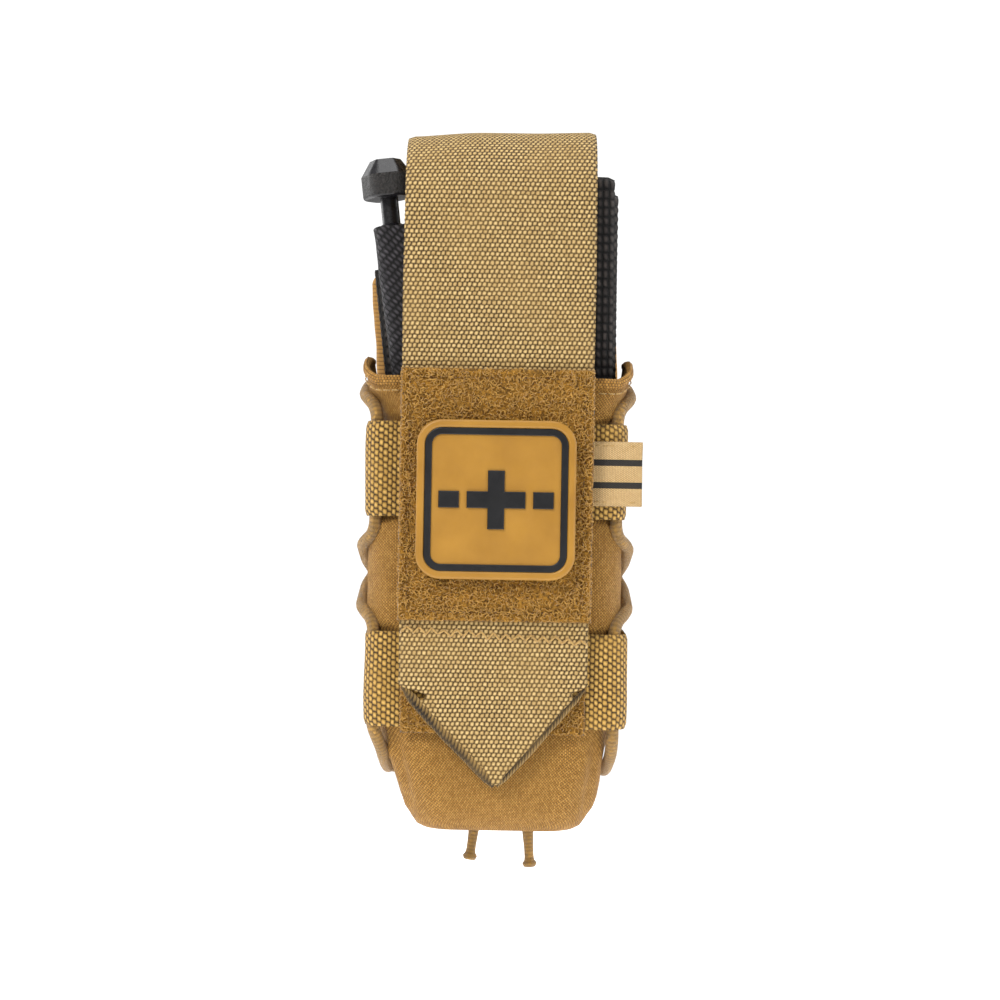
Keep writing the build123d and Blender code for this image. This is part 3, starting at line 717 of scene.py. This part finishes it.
def pile_slab(name, half, z0, z1, y_front, y_back, body, inset, node, seed):
    """Loop tape: a thick soft face, pulled down along the seam round its edge."""
    thickness = y_back - y_front
    count = int((z1 - z0) / 0.8) + 1
    line = straight([(0, (y_front + y_back) / 2, z1 - (z1 - z0) * i / (count - 1)) for i in range(count)])
    length = z1 - z0

    def relief(c, s, face):
        if face == -1:
            return 0.0
        rim = min(half - abs(c), s, length - s)
        seam = -0.42 * smoothstep(1.5, 0.0, abs(rim - inset))
        return seam + 0.12 * wave(c, s, 0, 2.2, seed) + 0.12 * wave(c, s, 0, 9, seed + 5)

    edge = lambda s: half + 0.25 * wave(0, s, 0, 3.0, seed + 2)
    slab = ribbon(name, line, edge, thickness, "pile", body, columns=64, relief=relief)
    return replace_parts(slab, node)


def loops(name, count, seed, place, body, size=(0.5, 1.3), height=(0.25, 0.6)):
    """Loose loops of yarn standing off the tape. place(rng) gives a point on its face."""
    rng = random.Random(seed)
    parts = []
    for _ in range(count):
        x, y, z = place(rng)
        angle, reach, tall = rng.uniform(0, 2 * pi), rng.uniform(*size), rng.uniform(*height)
        lean = rng.uniform(-0.5, 0.5)
        dx, dz = cos(angle) * reach, sin(angle) * reach
        path = []
        for k in range(6):
            t = k / 5
            bow = sin(pi * t)
            path.append((x + dx * (t - 0.5) - dz * lean * bow, y + 0.15 - (tall + 0.15) * bow,
                         z + dz * (t - 0.5) + dx * lean * bow))
        points, faces, _ = tube(path, rng.uniform(0.08, 0.14), 4, False)
        parts.append((points, faces))
    return many(name, parts, "loops", body)


def seam_round(half, z0, z1, y, inset, seed):
    """Box stitching in thread, inset from a panel's edge."""
    a, low, high = half - inset, z0 + inset, z1 - inset
    corners = [(-a, y, low), (a, y, low), (a, y, high), (-a, y, high), (-a, y, low)]
    parts = []
    for i, (p, q) in enumerate(zip(corners, corners[1:])):
        parts += stitch_row(p, q, 2.4, 0.7, 0.17, seed=seed + i)
    return parts


def flap_loops():
    """The loop tape on the flap, its loose yarn round the patch, and its seam."""
    pile_slab("flap_loop_tape", 25.6, 56.9, 123.6, -26.7, -25.3, "flap_front", 2.4, "flap_loop_panel", 1.0)

    def on_flap(rng):
        while True:
            x, z = rng.uniform(-25.3, 25.3), rng.uniform(57.3, 123.2)
            if abs(x) > 19.0 or abs(z - 89) > 19.0:
                return x, -26.75, z
    loops("flap_loop_yarn", 3400, 5, on_flap, "flap_front", (0.7, 1.7), (0.3, 0.75))
    seam = many("flap_tape_seam", seam_round(25.6, 56.9, 123.6, -26.45, 2.4, 21), "pile", "flap_front")


# ---- front panel
FRONT_Y, BACK_EDGE_Y = -20.0, 12.5
MOUTH_TOP = 128.0
# The mouth's edge from the side: (Y, Z).
MOUTH = ((-30, 121.2), (-18.6, 121.2), (-14.4, 123.6), (-10.9, 125.4), (-5.6, 127.0), (12.5, MOUTH_TOP),
         (30, MOUTH_TOP))
STRAP_WIDTH = 25.4
LOWER_STRAP, UPPER_STRAP = 28.2, 84.2            # where the side straps' lower edges are
CORD_HOLES, CORD_HOLE_Y = (-4.6, 10.4), 11


def mouth_z(y):
    """The height of the mouth's edge at a depth."""
    for (y0, z0), (y1, z1) in zip(MOUTH, MOUTH[1:]):
        if y <= y1:
            return z0 + (z1 - z0) * (y - y0) / (y1 - y0)
    return MOUTH[-1][1]


def under_strap(z):
    """1 where a strap holds the front panel in, 0 between the straps."""
    held = 0.0
    for low in (LOWER_STRAP, UPPER_STRAP):
        high = low + STRAP_WIDTH
        held = max(held, smoothstep(low - 2.5, low + 2, z) * smoothstep(high + 2.5, high - 2, z))
    return held


# The front panel's half width at a height: (Z, half width).
WIDTHS = ((0.0, 20.8), (0.5, 22.0), (1.6, 23.1), (3.0, 24.0), (6.0, 25.1), (10.0, 26.1), (14.0, 27.0),
          (18.0, 27.9), (22.0, 29.5), (26.0, 31.5), (30.0, 32.8), (36.0, 33.2), (200.0, 33.5))


def aside(z):
    """The lower end of the pouch sits a little to the right."""
    return 2.0 * smoothstep(42, 4, z)


def shell_section(z):
    """Half width, front Y and corner radius of the front panel at a height."""
    for (z0, w0), (z1, w1) in zip(WIDTHS, WIDTHS[1:]):
        if z0 <= z <= z1:
            half = w0 + (w1 - w0) * (z - z0) / (z1 - z0)
            break
    free = (1 - under_strap(z)) * smoothstep(26, 34, z)
    flare = smoothstep(112, 121, z)
    half += 1.0 * free + 1.2 * flare
    front = FRONT_Y - 0.6 * free
    corner = 13.0 - 2.8 * free - 1.0 * flare
    if z < 27:
        t = 1 - z / 27
        front = FRONT_Y - 1.0 * sin(pi * min(1.0, z / 27)) + 5.0 * t ** 6
        corner = 13.0 - 2.5 * smoothstep(27, 18, z) - 1.5 * smoothstep(8, 0, z)
    return half, front, corner


def shell_row(z):
    """Points of the front panel's U from the left back edge to the right one, with normals."""
    half, front, corner = shell_section(z)
    back = BACK_EDGE_Y + 6.0 * smoothstep(11, 7, z)
    middle = half - corner
    outline = []
    for k in range(12):
        outline.append((-half, back + (front + corner - back) * k / 12, -1.0, 0.0))
    for k in range(13):
        a = pi / 2 * k / 12
        outline.append((-middle - corner * cos(a), front + corner - corner * sin(a), -cos(a), -sin(a)))
    for k in range(1, 30):
        outline.append((-middle + 2 * middle * k / 30, front, 0.0, -1.0))
    for k in range(13):
        a = pi / 2 * (1 - k / 12)
        outline.append((middle + corner * cos(a), front + corner - corner * sin(a), cos(a), -sin(a)))
    for k in range(11, -1, -1):
        outline.append((half, back + (front + corner - back) * k / 12, 1.0, 0.0))
    return outline


def creased(x, y, z, nx, ny):
    """Where a point of the front panel ends up after slack and creases."""
    held = under_strap(z)
    slack = 0.25 + 0.75 * (1 - held)
    hidden = smoothstep(27, 21, abs(x)) if ny < -0.9 else 0.0
    low = smoothstep(30, 20, z)
    out = 0.55 * slack * wave(x, y * 1.4, z, 11, 2.0) + 0.25 * slack * wave(x, y, z, 4.5, 7.0)
    out += 0.5 * low * wave(x * 0.8, y, z * 1.5, 8, 14.0)
    ridge = abs(x) - (25.6 + 3.2 * smoothstep(2, 27, z))
    out += 0.75 * low * (smoothstep(1.5, 0, abs(ridge)) - 0.9 * smoothstep(1.6, 0, abs(ridge + 2.4)))
    if x <= 0:
        out -= 2.0 * min(1.0, abs(nx * ny) * 2.6) * bell(z, 112.0, 8.0)
    out *= (1 - hidden) * smoothstep(-1, 6, z)
    return (x + nx * out + aside(z), y + ny * out, z)


def front_shell():
    """The cloth from the mouth down, then its floor, drawn together to a point at the back."""
    side_rows, floor_rows = 128, 34
    points, uv = [], []
    for i in range(side_rows + 1):
        level = MOUTH_TOP * (1 - i / side_rows)
        for x, y, nx, ny in shell_row(top_blend(level, FRONT_Y)):
            points.append(creased(x, y, top_blend(level, y), nx, ny))
    columns = len(points) // (side_rows + 1)
    lowest = points[-columns:]
    for i in range(1, floor_rows + 1):
        keep = 1 - i / floor_rows
        points += [(x * keep, 18.5 + (y - 18.5) * keep, -0.1 * sin(pi * keep)) for x, y, _ in lowest]
    for index, point in enumerate(points):
        row, column = divmod(index, columns)
        uv.append(((column - columns / 2) * 2.05, point[2] if row <= side_rows else side_rows - row))
    faces = []
    for face in grid_faces(side_rows + 1 + floor_rows, columns):
        x, y, z = (sum(points[i][k] for i in face) / 4 for k in range(3))
        in_grommet = hypot(x, y) <= 4.6
        in_hole = min(hypot(x - hole, y - CORD_HOLE_Y) for hole in CORD_HOLES) <= 1.9
        if z > 2 or not (in_grommet or in_hole):
            faces.append(face)
    shell = make_piece("front_panel_cloth", points, faces, "cordura", uv)
    return thickened(shell, 0.9, "pouch")


def top_blend(level, y):
    """Rows are level up to 84 mm, and above that spread out to follow the mouth's edge."""
    if level <= 84:
        return level
    return 84 + (level - 84) / (MOUTH_TOP - 84) * (mouth_z(y) - 84)


def thickened(obj, thickness, body):
    """Gives a single layer of cloth its thickness, inwards, and lets it ride on a body."""
    wall = obj.modifiers.new("wall", "SOLIDIFY")
    wall.thickness = thickness * MM
    wall.offset = -1
    bpy.context.view_layer.update()
    solid = bpy.data.meshes.new_from_object(obj.evaluated_get(bpy.context.evaluated_depsgraph_get()))
    obj.modifiers.clear()
    obj.data = solid
    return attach(obj, body)


def mouth_line(drop, out):
    """A line along the mouth's edge on the front panel, a drop below it and a little outside."""
    points, normals = [], []
    for x, y, nx, ny in shell_row(mouth_z(FRONT_Y)):
        z = mouth_z(y) - drop
        points.append((x + nx * out, y + ny * out, z))
        normals.append((nx, ny, 0))
    dense_points, dense_normals = [], []
    for (p, q), (n, m) in zip(zip(points, points[1:]), zip(normals, normals[1:])):
        parts = max(1, round((Vector(q) - Vector(p)).length / 0.8))
        for k in range(parts):
            dense_points.append(Vector(p).lerp(Vector(q), k / parts))
            dense_normals.append(Vector(n).lerp(Vector(m), k / parts))
    dense_points.append(Vector(points[-1]))
    dense_normals.append(Vector(normals[-1]))
    across = []
    for i, n in enumerate(dense_normals):
        a, b = dense_points[max(i - 1, 0)], dense_points[min(i + 1, len(dense_points) - 1)]
        across.append((b - a).normalized().cross(n.normalized()))
    return Line(dense_points, dense_normals, across)


def mouth_hem():
    """The turned hem along the mouth, and the stitches that show at its corners."""
    line = mouth_line(0.7, 0.1)
    soft = lambda c, s, face: 0.12 * wave(c, s, face, 7, 4.0) + 0.3 * (1 - (c / 1.3) ** 2)
    hem = ribbon("mouth_hem", line, lambda s: 1.3 + 0.15 * wave(0, s, 0, 9, 1.0), 1.4, "cordura", "pouch",
                 columns=10, edge=0.2, relief=soft)
    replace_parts(hem, "mouth_hem_left", "mouth_hem_right")
    seam = mouth_line(3.4, 0.35)
    parts = []
    for i in range(0, len(seam.points) - 4, 4):
        p, q = seam.points[i], seam.points[i + 3]
        if abs(p.x) > 25.5:
            parts.append(stitch(p, q, 0.17, 0.1, seam.normals[i]))
    many("hem_stitches", parts, "thread", "pouch")


# ---- straps, label, cord
def side_straps():
    """The two straps across the front panel that form loops for the cord at the sides."""
    for name, low, seed, left, right in (("upper_side_strap", UPPER_STRAP, 1.0, -34.5, 34.4),
                                         ("lower_side_strap", LOWER_STRAP, 5.0, -33.9, 35.3)):
        corners = [(left + 0.4, 9.4), (left, 6.4), (left, -20.7),
                   (right, -20.7), (right, 6.4), (right - 0.4, 9.4)]
        line = flat_line("xy", corners, [3.0, 5.6, 5.6, 3.0], 0.6)

        def bow(c, s, seed=seed):
            p = line.points[min(range(len(line.points)), key=lambda i: abs(line.lengths[i] - s))]
            free = smoothstep(27, 31, abs(p.x)) * smoothstep(8, 2, p.y)
            return free * (0.3 * wave(c, s, 0, 12, seed) + 0.15 * cos(c / 12.7 * pi / 2))

        strap = ribbon(name + "_cloth", line, lambda s: 12.6 + picks(s, 1.5, 0.15), 1.35, "strap", "pouch",
                       columns=18, lift=bow, middle=low + 12.7)
        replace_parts(strap, name)
        parts = []
        for side in (-1, 1):
            x = (right if side > 0 else left) + side * 0.35
            for y in (7.0, 8.3):
                parts += stitch_row((x, y, low + 1.2), (x, y, low + 24.2), 1.6, 0.35, 0.2, (side, 0, 0),
                                    seed=int(seed) + side + 3)
        many(name + "_tacks", parts, "thread", "pouch")


def pouch_loops():
    """The pouch's own loop tape, with loose yarn only where the flap leaves it uncovered."""
    pile_slab("pouch_loop_tape", 24.6, 26.8, 109.8, -22.55, -21.35, "pouch", 2.4, "front_loop_panel", 8.0)

    def low_corner(rng):
        return rng.uniform(-24.4, 24.4), -22.5, rng.uniform(27.0, 56)
    loops("pouch_loop_yarn", 1700, 6, low_corner, "pouch", (0.7, 1.7), (0.3, 0.75))
    seam = many("pouch_tape_seam", seam_round(24.6, 26.8, 109.8, -22.3, 2.4, 31), "pile", "pouch")


def label():
    """The woven tab sewn under the upper side strap, curling a little at its end."""
    line = flat_line("xy", [(24.9, -21.75), (34.0, -22.0), (38.7, -21.2)], [14], 0.4)
    curl = lambda c, s: 0.25 * wave(c, s, 0, 6, 2.0) + 0.3 * smoothstep(5, 8.2, abs(c)) * smoothstep(0, 13, s)
    tab = ribbon("label_cloth", line, 8.6, 0.6, "label", "pouch", columns=26, lift=curl, middle=96.4)
    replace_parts(tab, "woven_label")
    parts = []
    for z in (88.9, 103.9):
        parts += stitch_row((26.2, -22.15, z), (37.4, -22.05, z), 1.9, 0.5, 0.13, seed=int(z))
    many("label_stitches", parts, "thread", "pouch")


CORD_R = 1.7
CORD_ROUTE = [
    (32.4, 18.2, 121.4), (32.4, 16.0, 121.4), (36.2, 12.4, 120.8), (36.1, 1.0, 119.2),
    (36.0, -11.0, 116.8), (32.2, -17.4, 113.0), (32.2, -17.4, 80.0), (36.0, -11.0, 76.6),
    (36.1, 1.0, 73.8), (36.1, 12.6, 71.3), (34.0, 15.6, 67.9), (36.1, 12.6, 64.5),
    (36.1, 1.0, 62.0), (36.0, -11.0, 59.4), (32.2, -17.4, 56.0), (32.2, -17.4, 27.0),
    (31.4, -13.5, 20.4), (30.8, -2.0, 15.6), (30.9, 9.0, 13.6), (30.6, 15.4, 13.2), (24.0, 15.3, 12.0),
]


def eased(points, share=0.45):
    """The route with a curve at each corner."""
    points = [Vector(p) for p in points]
    path = [points[0]]
    for a, b, c in zip(points, points[1:], points[2:]):
        cut = share * min((b - a).length, (c - b).length)
        p, q = b + (a - b).normalized() * cut, b + (c - b).normalized() * cut
        for k in range(9):
            t = k / 8
            path.append(p.lerp(b, t).lerp(b.lerp(q, t), t))
    path.append(points[-1])
    dense = [path[0]]
    for a, b in zip(path, path[1:]):
        if (b - a).length < 1e-6:
            continue
        parts = max(1, round((b - a).length / 0.9))
        dense += [a.lerp(b, k / parts) for k in range(1, parts + 1)]
    return dense


def cords():
    """The shock cord down each side, thinner at its tail and melted to a bead at its end."""
    for name, side, hole, tail in (("shock_cord_right", 1, 10.4, (11.2, 11, -14.1)),
                                   ("shock_cord_left", -1, 4.6, (5.8, 11, -12.3))):
        last = [(hole + 5, 12.6, 4.6), (hole, 11, 3.2), (hole, 11, -3), tail]
        path = eased([(side * x, y, z) for x, y, z in CORD_ROUTE + last])
        for point in path:
            point.x += (0.6 if side > 0 else 1.9) * smoothstep(30, 20, point.z) * smoothstep(8, 14, point.z)
        to_end = [0.0]
        for a, b in zip(reversed(path), list(reversed(path))[1:]):
            to_end.append(to_end[-1] + (b - a).length)
        radii = []
        for d in reversed(to_end):
            melted = 0.75 * smoothstep(2.2, 0.9, d) * sqrt(max(0.0, 1 - (max(0, 0.7 - d) / 0.8) ** 2))
            radii.append(CORD_R - 0.38 * smoothstep(13, 4, d) + melted)
        points, faces, uv = tube(path, radii, 14)
        cord = make_piece(name + "_sheath", points, faces, "cord", uv, "pouch")
        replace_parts(cord, name)
    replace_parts(cord, "cord_ends")


# ---- back
REAR_STRAP_X = 19.05


def back_lean(z):
    """How far to the left the back panel's top leans."""
    return 1.2 * smoothstep(116, 148, z)


def outline_half(bottom, floor, waist, half, top, corner):
    """The back panel's half width as a function of height, and its edge from the floor up."""
    edge = rounded([(0, bottom), (floor, bottom), (waist, 18.0), (half, 36.0), (half, top), (0, top)],
                   [5.0, 5.0, 5.0, corner], 0.5)

    def width(z):
        for (x0, z0), (x1, z1) in zip(edge, edge[1:]):
            if z0 <= z <= z1 and z1 - z0 > 1e-6:
                return x0 + (x1 - x0) * (z - z0) / (z1 - z0)
        return half - corner if z >= top else floor - 2.5
    return width, edge


def back_panel():
    """The coated cloth behind everything, with a soft, slightly uneven face."""
    width, _ = outline_half(0.2, 23.1, 29.4, 33.5, 151.3, 2.4)
    zs = [0.3, 0.5, 0.9, 1.4] + [2 + i * 1.2 for i in range(121)]
    zs += [147.6, 148.6, 149.5, 150.2, 150.7, 151.0, 151.2]
    line = straight([(0, 19.7, z) for z in zs], (0, 1, 0))
    soft = lambda c, s: 0.16 * wave(c, s, 0, 17, 6.0)
    panel = ribbon("back_panel_cloth", line, lambda s: width(min(zs[0] + s, 151.2)), 1.75, "cordura", "pouch",
                   columns=44, lift=soft)
    for vertex in panel.data.vertices:
        z = (vertex.co.z - at(0, 0, 0).z) / MM
        vertex.co.x -= back_lean(z) * MM
    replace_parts(panel, "back_panel")


def binding():
    """Ribbed tape folded over the back panel's edge."""
    _, edge = outline_half(0.2, 23.1, 29.5, 33.6, 151.4, 1.6)
    right = [(x, z) for x, z in edge if z >= 20.0 and x > 0.01]
    path = right + [(-x, z) for x, z in reversed(right)]
    # The tape's section: how far outside the edge, and Y.
    profile = [(-3.6, 18.2), (-2.5, 18.1), (0.2, 18.15), (0.85, 18.7), (0.95, 19.7), (0.85, 20.7),
               (0.2, 21.25), (-2.5, 21.3), (-3.6, 21.2), (-3.6, 20.7), (-0.1, 20.65), (-0.1, 18.75),
               (-3.6, 18.7)]
    points, uv, length = [], [], 0.0
    for i, (x, z) in enumerate(path):
        a, b = path[max(i - 1, 0)], path[min(i + 1, len(path) - 1)]
        d = Vector((b[0] - a[0], b[1] - a[1])).normalized()
        out = Vector((d.y, -d.x))
        if i:
            length += hypot(x - path[i - 1][0], z - path[i - 1][1])
        flare = 0.9 * smoothstep(132, 152, z) if x < 0 else -0.3
        for k, (n, y) in enumerate(profile):
            n += flare if n > -1 else 0.0
            n += 0.12 * wave(x, y, z, 5, 3.0)
            points.append((x + out.x * n - back_lean(z), y, z + out.y * n))
            uv.append((k * 1.3, length))
    tape = make_piece("edge_binding", points, grid_faces(len(path), len(profile), True), "tape", uv, "pouch")
    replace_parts(tape, "back_binding")
    parts = []
    for side in (-1, 1):
        for y, ny in ((18.05, -1), (21.35, 1)):
            low, high = (side * 31.2, y, 33), (side * 31.2, y, 148)
            parts += stitch_row(low, high, 2.8, 0.8, 0.16, (0, ny, 0), seed=side + 9)
    many("binding_seams", parts, "thread", "pouch")


def rows_and_rear_straps():
    """The two webbing rows on the back, and the straps that snap shut behind a belt."""
    parts = []
    for name, low in (("webbing_row_lower", 55.9), ("webbing_row_upper", 94.0)):
        line = flat_line("xy", [(29.6, 21.3), (-29.6, 21.3)], [], 0.6)
        row = ribbon(name + "_cloth", line, lambda s: 12.6 + picks(s, 1.5, 0.12), 1.35, "strap", "pouch",
                     columns=18, lift=lambda c, s: 0.1 * wave(c, s, 0, 9, 2.0), middle=low + 12.7)
        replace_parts(row, name)
        for x in (-28.3, -27.3, -0.5, 0.5, 27.3, 28.3):
            parts += stitch_row((x, 22.1, low + 1.6), (x, 22.1, low + 23.8), 1.5, 0.2, 0.2, (0, 1, 0),
                                seed=int(x) + 40)
    # Each rear strap is sewn down, comes away over the belt slot, and ends under its snap.
    corners = [(21.4, 135.0), (21.4, 124.5), (27.2, 117), (27.2, 36), (23.6, 28), (23.6, 11)]
    for side, name, body in ((-1, "rear_strap_left", "rear_strap_l"),
                             (1, "rear_strap_right", "rear_strap_r")):
        x = side * REAR_STRAP_X
        line = flat_line("yz", corners, [1.4, 6, 6, 6], 0.7, x)
        line.normals = [-n for n in line.normals]

        def end_width(s, line=line):
            left = line.lengths[-1] - s
            return 10.6 + picks(s, 1.5, 0.15) - 3.0 * (1 - smoothstep(0, 4, left)) ** 2

        strap = ribbon(name + "_cloth", line, end_width, 1.55, "rear", columns=18,
                       lift=lambda c, s: 0.12 * wave(c, s, 0, 14, 6.0))
        at(x, 21.4, 129.2)
        at(x, 21.6, 122.8)
        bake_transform(strap)
        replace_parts(strap, name)
        for z in (129.6, 133.4):
            parts += stitch_row((x - 9.4, 22.3, z), (x + 9.4, 22.3, z), 1.7, 0.3, 0.2, (0, 1, 0),
                                seed=int(z) + side)
    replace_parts(strap, "rear_strap_anchors")
    many("rear_tacks", parts, "thread", "pouch")


# ---- tourniquet
ROD_TOP = Vector((-30.6, -8.0, 170.5))
ROD_TILT = radians(6.8)
ROD_AXIS = Vector((-sin(ROD_TILT), 0, cos(ROD_TILT)))
ROD_SIDE = Vector((cos(ROD_TILT), 0, sin(ROD_TILT)))


def by_rod(x, y, z):
    """A point placed by the tilted windlass: across it, back from it and along it."""
    return ROD_TOP + ROD_SIDE * x + Vector((0, y, 0)) + ROD_AXIS * z


def folded_band(name, left, first_y, top, seed):
    """Three layers of the ribbed band, folded back and forth."""
    pitch, inset = 4.2, 1.65
    y = [first_y + pitch * i for i in range(3)]
    low, high = 40.0 + inset, top - inset
    corners = [(y[0], low + 2), (y[0], high), (y[1], high), (y[1], low), (y[2], low), (y[2], high - 12)]
    line = flat_line("yz", corners, [pitch / 2 - 0.01] * 4, 0.5)
    rib = lambda s: abs(sin(pi * s / 2.4)) ** 0.7

    def relief(c, s, face):
        groove = smoothstep(1.2, 0.0, abs(abs(c) - 16.6))
        return 0.16 + 0.3 * rib(s) - 0.22 * groove

    band = ribbon(name + "_cloth", line, lambda s: 18.7 + 0.4 * rib(s), 3.0, "band", "tourniquet",
                  columns=22, edge=0.45, relief=relief,
                  middle=lambda s: left + 18.55 + 0.25 * sin(s / 37 + seed))
    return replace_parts(band, name)


def wrap():
    """The webbing sleeve round the windlass: an outer and an inner skin, joined at both ends."""
    sides, steps = 40, 64
    points, uv = [], []
    for skin, shrink in ((0, 0.0), (1, 1.25)):
        for i in range(steps + 1):
            t = i / steps if skin == 0 else 1 - i / steps
            z = -70 + 61.8 * t
            loose = 1 + 0.03 * wave(0, 0, z, 9, 2.0) + 0.05 * smoothstep(-11, -6.5, z)
            for k in range(sides):
                a = 2 * pi * k / sides
                r = 1 / (abs(cos(a)) ** 3.2 + abs(sin(a)) ** 3.2) ** (1 / 3.2)
                fold = 0.16 * wave(cos(a) * 6, sin(a) * 6, z, 5, 8.0)
                x = (5.3 * loose - shrink + fold) * r * cos(a) + 0.4 + 0.8 * smoothstep(-10, -50, z)
                y = (5.15 * loose - shrink + fold) * r * sin(a)
                top = 0.9 * wave(cos(a) * 2, sin(a) * 2, 0, 2.5, 3.0) * smoothstep(0.9, 1, t)
                points.append(by_rod(x, y, z + top))
                around_mm = 37.0 * k / sides
                uv.append((around_mm * 0.77 + z * 0.64, z * 0.77 - around_mm * 0.64))
    rows = 2 * (steps + 1)
    faces = grid_faces(rows, sides, True)
    faces += [((rows - 1) * sides + k, (rows - 1) * sides + (k + 1) % sides, (k + 1) % sides, k)
              for k in range(sides)]
    sleeve = make_piece("windlass_sleeve", points, faces, "wrap", uv, "tourniquet")
    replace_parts(sleeve, "windlass_wrap")


def plate_cover():
    """The webbing that the windlass's base plate is sewn into."""
    count = 140
    spots = [by_rod(1.4, 6.2, -18.2 - 99.6 * i / (count - 1)) for i in range(count)]
    cover = ribbon("plate_sleeve", straight(spots, across=ROD_SIDE), lambda s: 7.5 + picks(s, 2.4, 0.2), 1.45,
                   "band", "tourniquet", columns=16, lift=lambda c, s: 0.1 * wave(c, s, 0, 10, 5.0))
    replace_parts(cover, "base_plate")


def small_straps():
    """The strap over the windlass's clip, and the band's free end."""
    shares = [i / 13 - 1 for i in range(27)]
    spots = [by_rod(6.6 * share, -8.1 + 0.5 * share ** 2, -100) for share in shares]
    strap = ribbon("clip_strap_cloth", straight(spots, across=ROD_AXIS), 6.4, 1.3, "band", "tourniquet",
                   columns=12)
    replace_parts(strap, "clip_strap")
    line = flat_line("yz", [(12.3, 118.6), (16.3, 118.6), (16.3, 60)], [2.0], 0.6, 4.0)
    tip = ribbon("band_tip_cloth", line, lambda s: 18.8 + picks(s, 1.5, 0.15), 1.15, "band", "tourniquet",
                 columns=18, lift=lambda c, s: 0.12 * wave(c, s, 0, 15, 1.0))
    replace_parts(tip, "band_tip")


def hard_parts():
    """The CAD pieces that are shown as they are."""
    shown = {
        "patch": ("patch_base", "patch_border"),
        "ink": ("patch_ring", "patch_symbol"),
        "hook": ("patch_hook_backing", "flap_hook_panel"),
        "sheet": ("front_stiffener", "back_stiffener"),
        "metal": ("drain_grommet", "snap_studs", "snap_cap_left", "snap_cap_right"),
        "plastic": ("windlass_clip", "buckle"),
    }
    for material, nodes in shown.items():
        for node in nodes:
            paint(node, material)
    rod = paint("windlass_rod", "plastic")
    rod.data.materials.append(M["knob"])
    origin = at(*ROD_TOP)
    for face in rod.data.polygons:
        along = (face.center - origin).dot(ROD_AXIS) / MM
        on_a_rim = 0.2 < along < 6.4 or -131.4 < along < -125.2
        if on_a_rim and abs(face.normal.dot(ROD_AXIS)) < 0.35:
            face.material_index = 1


set_the_scene()
flap()
front = front_shell()
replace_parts(front, "front_panel")
mouth_hem()
side_straps()
pouch_loops()
label()
cords()
back_panel()
binding()
rows_and_rear_straps()
folded_band("band_front_folds", -6.8, -11.4, 177.0, 0.0)
folded_band("band_rear_folds", -5.0, 1.6, 174.6, 2.0)
wrap()
plate_cover()
small_straps()
hard_parts()
